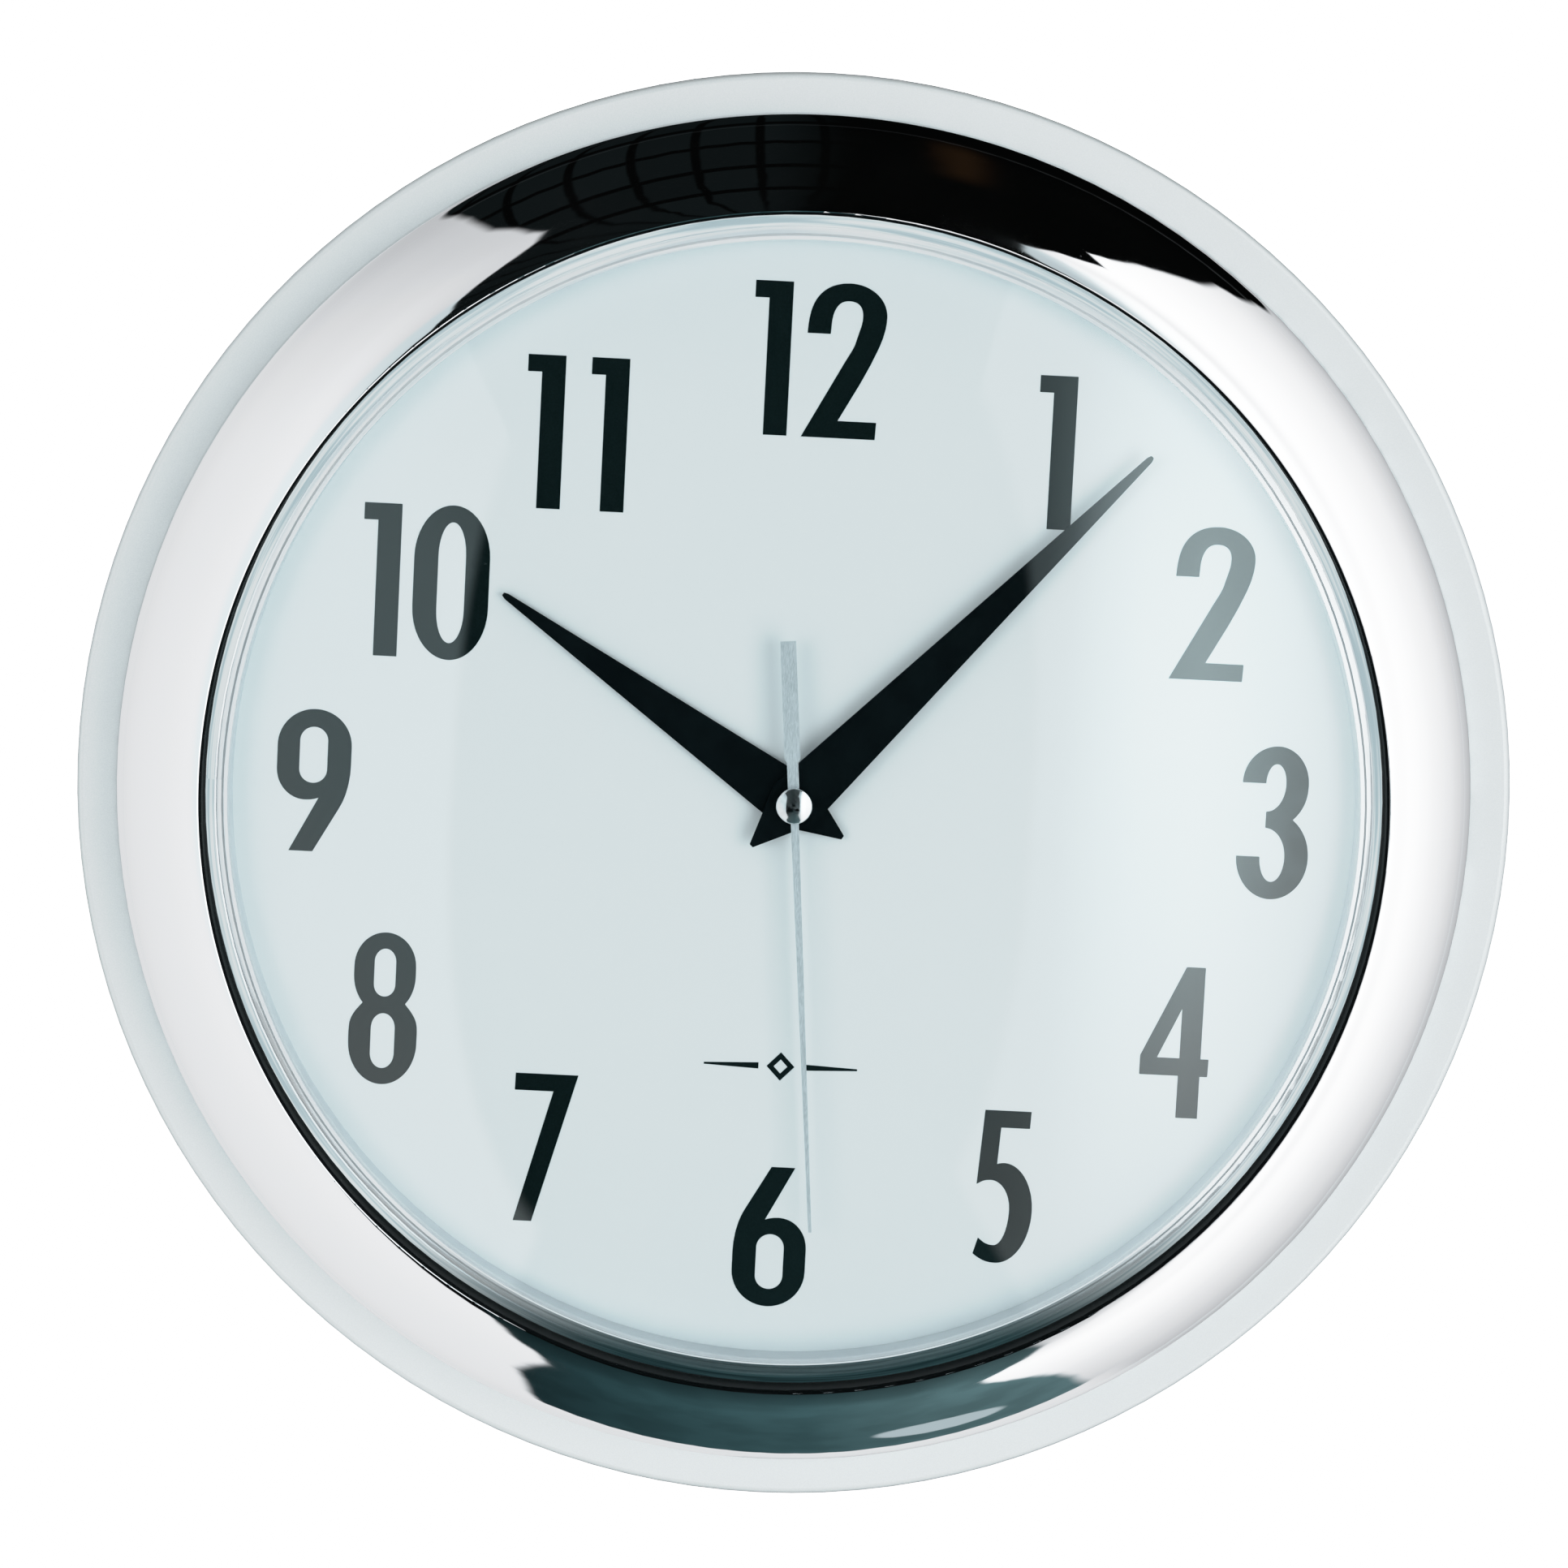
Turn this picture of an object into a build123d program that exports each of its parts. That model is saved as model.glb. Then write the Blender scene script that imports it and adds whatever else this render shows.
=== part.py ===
from build123d import *
import math
import os

# Wall clock with a convex chromed bezel, a domed clear lens and a battery
# quartz movement.  Millimetres.  +Z is up, the dial faces -Y, the hand axis
# is the Y axis and the wall plane is Y = 0.
#
# Depth is the distance in front of the wall, so a point at depth d has Y = -d.
# Names ending in _D are depths, _R radii, _W widths, _H heights and _T
# thicknesses.  An axis or point of a part seen from the front is (x, z).

# ---------------------------------------------------------------- sizes
# bezel shell
RIM_R = 150.0            # overall radius of the clock
RIM_BACK_D = 2.6         # rear edge of the rim
RIM_FRONT_D = 12.8       # front edge of the rim
RIM_WALL = 2.8
CREASE_R = 141.4         # where the flat band meets the convex ring
CREASE_D = 11.8
CREST_R = 122.3          # highest circle of the convex ring
CREST_D = 38.0
LIP_R = 121.5            # opening that frames the lens
LIP_D = 28.0             # rear end of the lip that holds the lens down
LIP_OUT_R = 124.0
BEZEL_WALL = 2.4

# lens
LENS_EDGE_R = 120.9
LENS_STEP_R = 117.2      # edge of the outer dome
LENS_STEP_D = 34.7
LENS_INNER_R = LENS_STEP_R - 1.2    # edge of the inner dome
LENS_INNER_D = 32.3
LENS_FLANGE_R = 127.0
LENS_FLANGE_BACK_D = 25.45
LENS_TOP_D = 41.6
LENS_WALL = 2.2

# dial and its spacer ring
DIAL_R = 130.0
DIAL_BACK_D = 22.5
DIAL_D = 24.0            # front face of the dial
RING_IN_R = 116.3
RING_OUT_R = 118.9
RING_FLANGE_D = 25.35    # front of the ring's flange
RING_FRONT_D = 31.4
INK = 0.08               # printed ink thickness

# back shell
SHELL_R = 146.9
PAN_R = 116.0
PAN_D = 9.0
PLATE_T = 2.2
ANNULUS_D = 2.5          # rear face of the annulus around the pan
ANNULUS_FRONT_D = ANNULUS_D + PLATE_T
FOOT_IN_R, FOOT_OUT_R = 140.0, 143.4
SUPPORT_R = 125.5        # ring wall behind the dial
SUPPORT_D = DIAL_BACK_D - 0.1
WALL_T = 2.0             # shell's upright walls

# case screws and the bosses and towers they pass through
SCREW_PCD_R = 134.0      # radius of the circle the screws stand on
SCREW_COUNT = 6
SCREW_START = 30         # degrees
BOSS_R = 3.3

# small screws, as (x, z) points
MOVEMENT_SCREWS = [(-32.5, -5.0), (32.5, -5.0)]
HANGER_Z = 100.0
HANGER_SCREWS = [(-13.5, HANGER_Z), (13.5, HANGER_Z)]
POST_R = 3.2             # posts for the small screws
POST_HOLE_R = 1.25

# movement case
CASE_W = 56.0
CASE_TOP, CASE_BOT = 23.0, -33.0
CASE_MID = (CASE_TOP + CASE_BOT) / 2
CASE_BACK_D, CASE_FRONT_D = 5.0, 20.9
CASE_WALL = 1.5
CASE_CORNER = 1.2
LID_T = 1.5
INNER_X = CASE_W / 2 - CASE_WALL
GEAR_BAY_BOT = -15.4
BATTERY_BAY_TOP = GEAR_BAY_BOT - 1.2
BATTERY_BAY_BOT = CASE_BOT + CASE_WALL
BATTERY_R, BATTERY_LEN = 7.15, 49.2
BATTERY_Z, BATTERY_D = -24.1, 12.0

# hands
HOUR_LEN, MINUTE_LEN, SECOND_LEN = 74.0, 102.7, 89.8
TAIL_LEN, HAND_HALF_W, TIP_HALF_W = 12.9, 5.8, 0.65
SECOND_TAIL = 34.0
HOUR_HAND_D, MINUTE_HAND_D, SECOND_HAND_D = 25.2, 27.2, 29.2
HAND_T, SECOND_T = 0.6, 0.4
COLLAR_LEN = 0.7
SOCKET_LEN = 1.1         # tube behind the second hand
PRESS_GAP = 0.01         # radial gap of a pressed part

# pointer directions at rest, clockwise from 12 as the viewer sees them
HOUR_DEG, MINUTE_DEG, SECOND_DEG = 303.0, 42.8, 175.0

# shafts
ARBOR_R = 0.5
CANNON_BORE_R, CANNON_R = 0.58, 1.6
HOUR_BORE_R, HOUR_TUBE_R = 1.68, 2.5
BUSH_BORE_R, BUSH_R = 2.58, 3.8
BUSH_OPENING_R = BUSH_R + 0.2
PIVOT_R, PIVOT_HOLE_R = 0.4, 0.45
PIVOT_BACK_D, PIVOT_FRONT_D = CASE_BACK_D + 0.9, CASE_FRONT_D - 0.6
SETTING_SHAFT_R = 1.0
ROTOR_SHAFT_R = 0.9

# gear meshes: module, pinion teeth, wheel teeth
ROTOR_MESH = (0.30, 10, 50)      # rotor pinion, intermediate wheel
INTER_MESH = (0.34, 10, 60)      # intermediate pinion, seconds wheel
SECONDS_MESH = (0.36, 8, 60)     # seconds pinion, third wheel
THIRD_MESH = (0.34, 8, 64)       # third pinion, centre wheel
CANNON_MESH = (0.50, 12, 36)     # cannon pinion, minute wheel
HOUR_MESH = (0.40, 12, 48)       # minute pinion, hour wheel

# gear tooth form, in modules unless noted
PRESSURE_ANGLE = math.radians(20)
ADDENDUM, DEDENDUM = 0.95, 1.2
TOOTH_SLACK = 0.07               # mm off the tooth width at the pitch circle


def spacing(mesh):
    """Distance between the two axes of a mesh."""
    module, pinion_teeth, wheel_teeth = mesh
    return module * (pinion_teeth + wheel_teeth) / 2


def around_hands(distance, angle_deg):
    """Axis at a distance and angle from the hand axis, to the micron."""
    angle = math.radians(angle_deg)
    return (round(distance * math.cos(angle), 3), round(distance * math.sin(angle), 3))


HAND_AXIS = (0.0, 0.0)
THIRD_AXIS = around_hands(spacing(SECONDS_MESH), 135)
INTER_AXIS = around_hands(spacing(INTER_MESH), 60)
ROTOR_AXIS = (INTER_AXIS[0] + spacing(ROTOR_MESH), INTER_AXIS[1])
SET_AXIS = around_hands(spacing(CANNON_MESH), -20)
PIVOT_AXES = [THIRD_AXIS, INTER_AXIS, ROTOR_AXIS]


# ---------------------------------------------------------------- helpers
def front(depth, x=0.0, z=0.0, turn=0.0):
    """Plane at a depth seen from the front: local x is +X, local y is +Z.
    turn rotates it clockwise as the viewer sees it."""
    angle = math.radians(turn)
    return Plane(
        origin=(x, -depth, z),
        x_dir=(math.cos(angle), 0, -math.sin(angle)),
        z_dir=(0, -1, 0),
    )


# The next two helpers extrude their own sketch, because a sketch opened in a
# function does not join the part block that calls it.
def disc(axis, radius, start, end, bore=0.0, mode=Mode.ADD):
    """Round solid on an axis between two depths."""
    with BuildSketch(front(start, *axis)) as circle:
        Circle(radius)
        if bore:
            Circle(bore, mode=Mode.SUBTRACT)
    extrude(circle.sketch, amount=end - start, mode=mode)


def block(x, z, width, height, start, end, corner=0.0, mode=Mode.ADD):
    """Rectangular solid centred on (x, z) between two depths."""
    with BuildSketch(front(start, x, z)) as rectangle:
        if corner:
            RectangleRounded(width, height, corner)
        else:
            Rectangle(width, height)
    extrude(rectangle.sketch, amount=end - start, mode=mode)


def profile_line(*points, close=False):
    """Straight run of a turned profile through (radius, depth) points."""
    Polyline(*[(radius, -depth) for radius, depth in points], close=close)


def profile_arc(*points):
    """Arc of a turned profile through three (radius, depth) points."""
    ThreePointArc(*[(radius, -depth) for radius, depth in points])


def dome_mid(radius, top, edge):
    """Middle (radius, depth) of a spherical cap from (0, top) to (radius, edge)."""
    rise = top - edge
    sphere_r = (radius * radius + rise * rise) / (2 * rise)
    x = radius * 0.55
    return (x, top - (sphere_r - math.sqrt(sphere_r * sphere_r - x * x)))


def mirrored_outline(right_side):
    """Closed outline from its right-hand points, listed top to bottom."""
    left_side = [(-x, y) for x, y in reversed(right_side)]
    Polyline(*right_side, *left_side, close=True)


# ---------------------------------------------------------------- bezel
def bezel():
    """Chromed shell: rim, flat band, crease and a tall convex ring whose
    crest frames the lens, with six screw bosses inside."""
    outer_rx, outer_ry = CREASE_R - CREST_R, CREST_D - CREASE_D
    inner_rx, inner_ry = outer_rx - BEZEL_WALL, outer_ry - BEZEL_WALL
    # the inner curve runs from the crease to the outside of the lip
    inner_turn = math.degrees(math.acos((LIP_OUT_R - CREST_R) / inner_rx))
    lip_join_d = CREASE_D + inner_ry * math.sin(math.radians(inner_turn))
    rim_in_r = RIM_R - RIM_WALL
    lip_front_d = CREST_D - 0.85
    with BuildPart() as shell:
        with BuildSketch(Plane.XY):
            with BuildLine():
                profile_line(
                    (rim_in_r, RIM_BACK_D), (RIM_R, RIM_BACK_D), (RIM_R, RIM_FRONT_D - 1.5)
                )
                profile_arc(
                    (RIM_R, RIM_FRONT_D - 1.5),
                    (RIM_R - 0.42, RIM_FRONT_D - 0.46),
                    (RIM_R - 1.4, RIM_FRONT_D),
                )
                profile_line((RIM_R - 1.4, RIM_FRONT_D), (CREASE_R, CREASE_D))
                EllipticalCenterArc(
                    (CREST_R, -CREASE_D), outer_rx, outer_ry, start_angle=-90, arc_size=90
                )
                profile_arc(
                    (CREST_R, CREST_D), (LIP_R + 0.22, CREST_D - 0.25), (LIP_R, lip_front_d)
                )
                profile_line(
                    (LIP_R, lip_front_d),
                    (LIP_R, LIP_D),
                    (LIP_OUT_R, LIP_D),
                    (LIP_OUT_R, lip_join_d),
                )
                EllipticalCenterArc(
                    (CREST_R, -CREASE_D), inner_rx, inner_ry,
                    start_angle=-inner_turn, arc_size=inner_turn,
                )
                profile_line(
                    (CREST_R + inner_rx, CREASE_D),
                    (CREST_R + inner_rx, CREASE_D - 2.2),
                    (RIM_R - 3.6, RIM_FRONT_D - 2.4),
                    (rim_in_r, RIM_FRONT_D - 3.6),
                    (rim_in_r, RIM_BACK_D),
                )
            make_face()
        revolve(axis=Axis.Y)
        # screw bosses grow from the inside of the convex ring
        with BuildSketch(front(13.2)):
            with PolarLocations(SCREW_PCD_R, SCREW_COUNT, start_angle=SCREW_START):
                Circle(BOSS_R)
                Circle(1.4, mode=Mode.SUBTRACT)
        extrude(amount=12.0)
    return shell.part


# ---------------------------------------------------------------- back shell
def back_shell():
    """Rear moulding with the pan, dial support, movement pocket and posts."""
    pan_front_d = PAN_D + PLATE_T
    with BuildPart() as shell:
        with BuildSketch(Plane.XY):
            with BuildLine():
                profile_line(
                    (0, PAN_D),
                    (PAN_R, PAN_D),
                    (PAN_R + 4.0, ANNULUS_D),
                    (FOOT_IN_R - 0.4, ANNULUS_D),
                    (FOOT_IN_R, 0),
                    (FOOT_OUT_R, 0),
                    (FOOT_OUT_R + 0.4, ANNULUS_D),
                    (SHELL_R, ANNULUS_D),
                    (SHELL_R, 9.2),
                    (SHELL_R - WALL_T, 9.2),
                    (SHELL_R - WALL_T, ANNULUS_FRONT_D),
                    (SUPPORT_R, ANNULUS_FRONT_D),
                    (SUPPORT_R, SUPPORT_D),
                    (SUPPORT_R - WALL_T, SUPPORT_D),
                    (SUPPORT_R - WALL_T, ANNULUS_FRONT_D),
                    (PAN_R + 6.4, ANNULUS_FRONT_D),
                    (PAN_R + 1.8, pan_front_d),
                    (0, pan_front_d),
                    close=True,
                )
            make_face()
        revolve(axis=Axis.Y)
        # radial ribs stiffen the pan between the movement pocket and the dial ring
        with BuildSketch(front(pan_front_d - 0.2)):
            with PolarLocations(0, 12, start_angle=15):
                with Locations((80.0, 0)):
                    Rectangle(72.0, 1.8)
        extrude(amount=7.0)
        # screw towers that meet the bezel bosses
        with BuildSketch(front(4.6)):
            with PolarLocations(SCREW_PCD_R, SCREW_COUNT, start_angle=SCREW_START):
                Circle(BOSS_R)
        extrude(amount=8.5)
        # pocket that receives the movement from behind
        pocket_out, pocket_in = CASE_W + 5.0, CASE_W + 1.0
        block(0, CASE_MID, pocket_out, pocket_out, PAN_D + 0.1, CASE_FRONT_D + 1.5, corner=2.5)
        block(
            0, CASE_MID, pocket_in, pocket_in, 0, CASE_FRONT_D + 0.05,
            corner=1.0, mode=Mode.SUBTRACT,
        )
        # bosses beside the pocket for the movement screws
        for point in MOVEMENT_SCREWS:
            disc(point, POST_R, PAN_D + 0.1, PAN_D + 9.1)
            disc(point, POST_HOLE_R, PAN_D - 0.5, PAN_D + 8.0, mode=Mode.SUBTRACT)
        # posts that carry the steel hanger plate
        for point in HANGER_SCREWS:
            disc(point, POST_R, 3.85, PAN_D + 0.2)
            disc(point, POST_HOLE_R, 3.0, 9.5, mode=Mode.SUBTRACT)
        # moulded grip ribs on the rear annulus
        with BuildSketch(front(1.7)):
            with PolarLocations(0, 36, start_angle=5):
                with Locations((128.4, 0)):
                    Rectangle(8.0, 1.2)
        extrude(amount=1.0)
        # upright vent slots low in the pan
        with BuildSketch(front(PAN_D - 1)):
            with Locations(*[(x, -75.0) for x in range(-20, 21, 8)]):
                SlotOverall(16.0, 2.4, rotation=90)
        extrude(amount=6.0, mode=Mode.SUBTRACT)
        # clearance holes for the case screws
        with BuildSketch(front(0)):
            with PolarLocations(SCREW_PCD_R, SCREW_COUNT, start_angle=SCREW_START):
                Circle(1.7)
        extrude(amount=14.0, mode=Mode.SUBTRACT)
        # opening for the shaft bushing
        disc(HAND_AXIS, BUSH_OPENING_R, 15.0, 25.0, mode=Mode.SUBTRACT)
    return shell.part


# ---------------------------------------------------------------- lens
def lens():
    """Domed clear lens with a stepped edge and a flange behind the bezel lip."""
    rounding_r = LENS_STEP_R + 2.7
    flange_front_d = LIP_D - 0.3
    inner_top_d = LENS_TOP_D - LENS_WALL
    with BuildPart() as glass:
        with BuildSketch(Plane.XY):
            with BuildLine():
                profile_arc(
                    (0, LENS_TOP_D),
                    dome_mid(LENS_STEP_R, LENS_TOP_D, LENS_STEP_D),
                    (LENS_STEP_R, LENS_STEP_D),
                )
                profile_line(
                    (LENS_STEP_R, LENS_STEP_D),
                    (LENS_STEP_R + 0.5, 34.2),
                    (LENS_STEP_R + 1.6, 34.1),
                    (LENS_STEP_R + 1.9, 34.25),
                    (rounding_r, 33.95),
                )
                profile_arc(
                    (rounding_r, 33.95), (LENS_EDGE_R - 0.35, 33.55), (LENS_EDGE_R, 32.4)
                )
                profile_line(
                    (LENS_EDGE_R, 32.4),
                    (LENS_EDGE_R, flange_front_d),
                    (LENS_FLANGE_R, flange_front_d),
                    (LENS_FLANGE_R, LENS_FLANGE_BACK_D),
                    (RING_OUT_R + 0.2, LENS_FLANGE_BACK_D),
                    (RING_OUT_R + 0.2, RING_FRONT_D + 0.2),
                    (LENS_INNER_R, LENS_INNER_D),
                )
                profile_arc(
                    (LENS_INNER_R, LENS_INNER_D),
                    dome_mid(LENS_INNER_R, inner_top_d, LENS_INNER_D),
                    (0, inner_top_d),
                )
                profile_line((0, inner_top_d), (0, LENS_TOP_D))
            make_face()
        revolve(axis=Axis.Y)
    return glass.part


# ---------------------------------------------------------------- dial
def dial_ring():
    """Spacer ring between the dial and the lens."""
    back_d = DIAL_D + 0.05
    with BuildPart() as ring:
        with BuildSketch(Plane.XY):
            with BuildLine():
                profile_line(
                    (RING_IN_R, back_d),
                    (DIAL_R, back_d),
                    (DIAL_R, RING_FLANGE_D),
                    (RING_OUT_R, RING_FLANGE_D),
                    (RING_OUT_R, RING_FRONT_D),
                    (RING_IN_R + 0.3, RING_FRONT_D),
                    (RING_IN_R, RING_FRONT_D - 0.3),
                    close=True,
                )
            make_face()
        revolve(axis=Axis.Y)
    return ring.part


def dial():
    """Flat dial with a centre hole."""
    with BuildPart() as plate:
        with BuildSketch(front(DIAL_BACK_D)):
            Circle(DIAL_R)
            Circle(BUSH_OPENING_R, mode=Mode.SUBTRACT)
            # two locating notches at the edge
            with Locations((0, DIAL_R), (0, -DIAL_R)):
                Rectangle(5.0, 3.0, mode=Mode.SUBTRACT)
        extrude(amount=DIAL_D - DIAL_BACK_D)
    return plate.part


# ---------------------------------------------------------------- numerals
# Condensed upright figures.  Each entry is (width, height, loops), in a frame
# with the baseline at y = 0 and the left side at x = 0.  The first loop is
# the outline and the others are holes.  Steps of a loop:
#   "L", points...                           straight run
#   "S", points, start and end directions    smooth curve
#   "E", centre, x radius, y radius, from, to (degrees)    elliptical arc
# The figure 9 is the 6 turned half round.
NUM_H = 31.6             # height of most numerals
NUM_STEM = 4.85          # stem width
FIGURES = {
    "0": (15.6, NUM_H, [
        [("E", (7.8, 20.9), 7.8, 10.9, 0, 180), ("L", (0, 20.9), (0, 10.7)),
         ("E", (7.8, 10.7), 7.8, 10.9, 180, 360), ("L", (15.6, 10.7), (15.6, 20.9))],
        [("E", (7.8, 21.4), 2.85, 6.9, 0, 180), ("L", (4.95, 21.4), (4.95, 10.2)),
         ("E", (7.8, 10.2), 2.85, 6.9, 180, 360), ("L", (10.65, 10.2), (10.65, 21.4))],
    ]),
    "1": (7.75, NUM_H, [
        [("L", (0, NUM_H), (7.75, NUM_H), (7.75, 0), (7.75 - NUM_STEM, 0),
          (7.75 - NUM_STEM, NUM_H - 3.5), (0, NUM_H - 3.5), (0, NUM_H))],
    ]),
    "2": (16.5, NUM_H, [
        [("L", (0, 0), (15.2, 0), (15.35, 3.55), (7.4, 3.55), (11.7, 11.5)),
         ("S", ((11.7, 11.5), (14.85, 18.2), (16.5, 25.2)), (0.46, 0.88), (0, 1)),
         ("E", (8.75, 25.2), 7.75, 6.6, 0, 90),
         ("S", ((8.75, 31.8), (2.7, 29.4), (0.35, 21.3)), (-1, 0), (-0.03, -1)),
         ("L", (0.35, 21.3), (5.1, 21.3)),
         ("S", ((5.1, 21.3), (5.9, 26.4), (8.45, 28.15)), (0.04, 1), (1, 0.03)),
         ("S", ((8.45, 28.15), (11.55, 25.2), (10.55, 20.6), (8.4, 15.85)),
          (1, 0.03), (-0.5, -0.85)),
         ("L", (8.4, 15.85), (0, 0))],
    ]),
    "3": (14.9, NUM_H, [
        [("E", (7.6, 24.0), 7.1, 7.8, 180, 90),
         ("E", (7.6, 24.0), 6.6, 7.8, 90, 0),
         ("S", ((14.2, 24.0), (13.5, 19.8), (11.3, 16.6)), (0, -1), (-0.72, -0.69)),
         ("S", ((11.3, 16.6), (14.1, 12.9), (14.9, 8.6)), (0.78, -0.62), (0, -1)),
         ("E", (7.4, 8.6), 7.5, 8.8, 0, -90),
         ("E", (7.4, 8.6), 7.4, 8.8, -90, -180),
         ("L", (0, 8.6), (4.85, 8.6)),
         ("E", (7.45, 8.6), 2.6, 5.15, 180, 360),
         ("E", (5.7, 8.6), 4.35, 6.1, 0, 90),
         ("L", (5.7, 14.7), (5.7, 18.1)),
         ("E", (5.7, 24.0), 3.85, 5.9, -90, 0),
         ("E", (7.45, 24.0), 2.1, 4.1, 0, 180),
         ("L", (5.35, 24.0), (0.5, 24.0))],
    ]),
    "4": (14.3, NUM_H, [
        [("L", (8.65, 31.9), (12.6, 31.9), (12.6, 12.6), (14.3, 12.6), (14.2, 8.9),
          (12.6, 8.9), (12.6, 0), (8.1, 0), (8.1, 8.9), (0, 8.9), (0, 12.9), (8.65, 31.9))],
        [("L", (8.2, 23.1), (8.2, 12.6), (3.5, 12.6), (8.2, 23.1))],
    ]),
    "5": (11.9, 32.2, [
        [("L", (1.05, 32.2), (10.7, 32.2), (10.55, 28.6), (4.55, 28.6), (4.1, 20.813)),
         ("E", (5.6, 11.2), 6.3, 9.9, 103.773, 0),
         ("E", (4.7, 11.2), 7.2, 11.4, 0, -90),
         ("S", ((4.7, -0.2), (2.2, 0.25), (0, 1.6)), (-1, 0), (-0.8, 0.62)),
         ("L", (0, 1.6), (0.95, 5.0)),
         ("S", ((0.95, 5.0), (2.4, 3.95), (4.2, 3.55)), (0.75, -0.6), (1, 0)),
         ("E", (4.2, 11.2), 2.95, 7.65, -90, 0),
         ("E", (2.9, 11.2), 4.25, 6.2, 0, 90),
         ("S", ((2.9, 17.4), (1.4, 17.15), (0.05, 16.4)), (-1, 0), (-0.85, -0.5)),
         ("L", (0.05, 16.4), (1.05, 32.2))],
    ]),
    "6": (15.3, 29.5, [
        [("L", (7.3, 29.5), (12.25, 29.5), (6.45, 18.25)),
         ("S", ((6.45, 18.25), (7.9, 18.65), (9.3, 18.75)), (0.9, 0.35), (1, 0)),
         ("E", (9.3, 12.3), 6.0, 6.45, 90, 0),
         ("L", (15.3, 12.3), (15.3, 7.4)),
         ("E", (7.65, 7.4), 7.65, 7.6, 0, -180),
         ("L", (0, 7.4), (0, 11.2)),
         ("S", ((0, 11.2), (0.45, 15.6), (2.1, 20.2)), (0, 1), (0.5, 0.87)),
         ("L", (2.1, 20.2), (7.3, 29.5))],
        [("E", (7.8, 12.3), 2.9, 2.9, 0, 180), ("L", (4.9, 12.3), (4.9, 6.4)),
         ("E", (7.8, 6.4), 2.9, 2.9, 180, 360), ("L", (10.7, 6.4), (10.7, 12.3))],
    ]),
    "7": (13.1, 31.3, [
        [("L", (0.05, 31.3), (13.1, 31.3), (4.6, 0), (0.75, 0), (8.05, 27.7), (0, 27.7),
          (0.05, 31.3))],
    ]),
    "8": (14.2, NUM_H, [
        [("E", (7.1, 24.7), 6.4, 7.1, 0, 180),
         ("S", ((0.7, 24.7), (0.7, 22.2), (2.7, 16.9)), (0, -1), (0.66, -0.75)),
         ("S", ((2.7, 16.9), (0.4, 13.6), (0, 8.6)), (-0.66, -0.75), (0, -1)),
         ("E", (7.1, 8.6), 7.1, 8.8, 180, 360),
         ("S", ((14.2, 8.6), (13.8, 13.6), (11.5, 16.9)), (0, 1), (-0.66, 0.75)),
         ("S", ((11.5, 16.9), (13.5, 22.2), (13.5, 24.7)), (0.66, 0.75), (0, 1))],
        [("E", (7.1, 25.6), 2.25, 2.8, 0, 180), ("L", (4.85, 25.6), (4.85, 20.9)),
         ("E", (7.1, 20.9), 2.25, 2.6, 180, 360), ("L", (9.35, 20.9), (9.35, 25.6))],
        [("E", (7.1, 11.6), 2.5, 3.2, 0, 180), ("L", (4.6, 11.6), (4.6, 6.4)),
         ("E", (7.1, 6.4), 2.5, 3.2, 180, 360), ("L", (9.6, 6.4), (9.6, 11.6))],
    ]),
}
FIGURES["9"] = FIGURES["6"]

# figure groups: text, centre x, centre z, x offset of each figure
HOURS = [
    ("12", 0.4, 91.5, (0.0, 10.7)),
    ("1", 50.0, 75.0, (0.0,)),
    ("2", 84.2, 45.4, (0.0,)),
    ("3", 99.6, 0.6, (0.0,)),
    ("4", 81.9, -46.6, (0.0,)),
    ("5", 48.1, -78.8, (0.0,)),
    ("6", -0.4, -91.8, (0.0,)),
    ("7", -48.5, -75.4, (0.0,)),
    ("8", -83.1, -47.6, (0.0,)),
    ("9", -99.6, -0.6, (0.0,)),
    ("10", -78.2, 41.9, (0.0, 10.6)),
    ("11", -48.6, 74.0, (0.0, 13.1)),
]


def draw_loop(loop, left, bottom, width, height, flip):
    """Draws one closed loop of a figure into the open BuildLine."""
    sign = -1 if flip else 1

    def place(point):
        if flip:
            return (left + width - point[0], bottom + height - point[1])
        return (left + point[0], bottom + point[1])

    for kind, *values in loop:
        if kind == "L":
            Polyline(*[place(point) for point in values])
        elif kind == "S":
            points, *directions = values
            Spline(
                *[place(point) for point in points],
                tangents=[(sign * x, sign * y) for x, y in directions],
            )
        else:
            centre, x_radius, y_radius, start, end = values
            EllipticalCenterArc(
                place(centre), x_radius, y_radius,
                start_angle=min(start, end), arc_size=abs(end - start),
                rotation=180 if flip else 0,
            )


def dial_numerals():
    """The twelve printed hour numerals."""
    with BuildPart() as numerals:
        for text, centre_x, centre_z, offsets in HOURS:
            text_w = offsets[-1] + FIGURES[text[-1]][0]
            for digit, offset in zip(text, offsets):
                width, height, loops = FIGURES[digit]
                left = centre_x - text_w / 2 + offset
                bottom = centre_z - height / 2
                for i, loop in enumerate(loops):
                    with BuildSketch(front(DIAL_D)):
                        with BuildLine():
                            draw_loop(loop, left, bottom, width, height, flip=digit == "9")
                        make_face()
                    extrude(amount=INK, mode=Mode.ADD if i == 0 else Mode.SUBTRACT)
    return numerals.part


ORNAMENT_Z = -55.7


def lozenge(half_w, half_h):
    """Diamond outline centred on the ornament."""
    Polyline(
        (0, ORNAMENT_Z + half_h),
        (half_w, ORNAMENT_Z),
        (0, ORNAMENT_Z - half_h),
        (-half_w, ORNAMENT_Z),
        close=True,
    )


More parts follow.
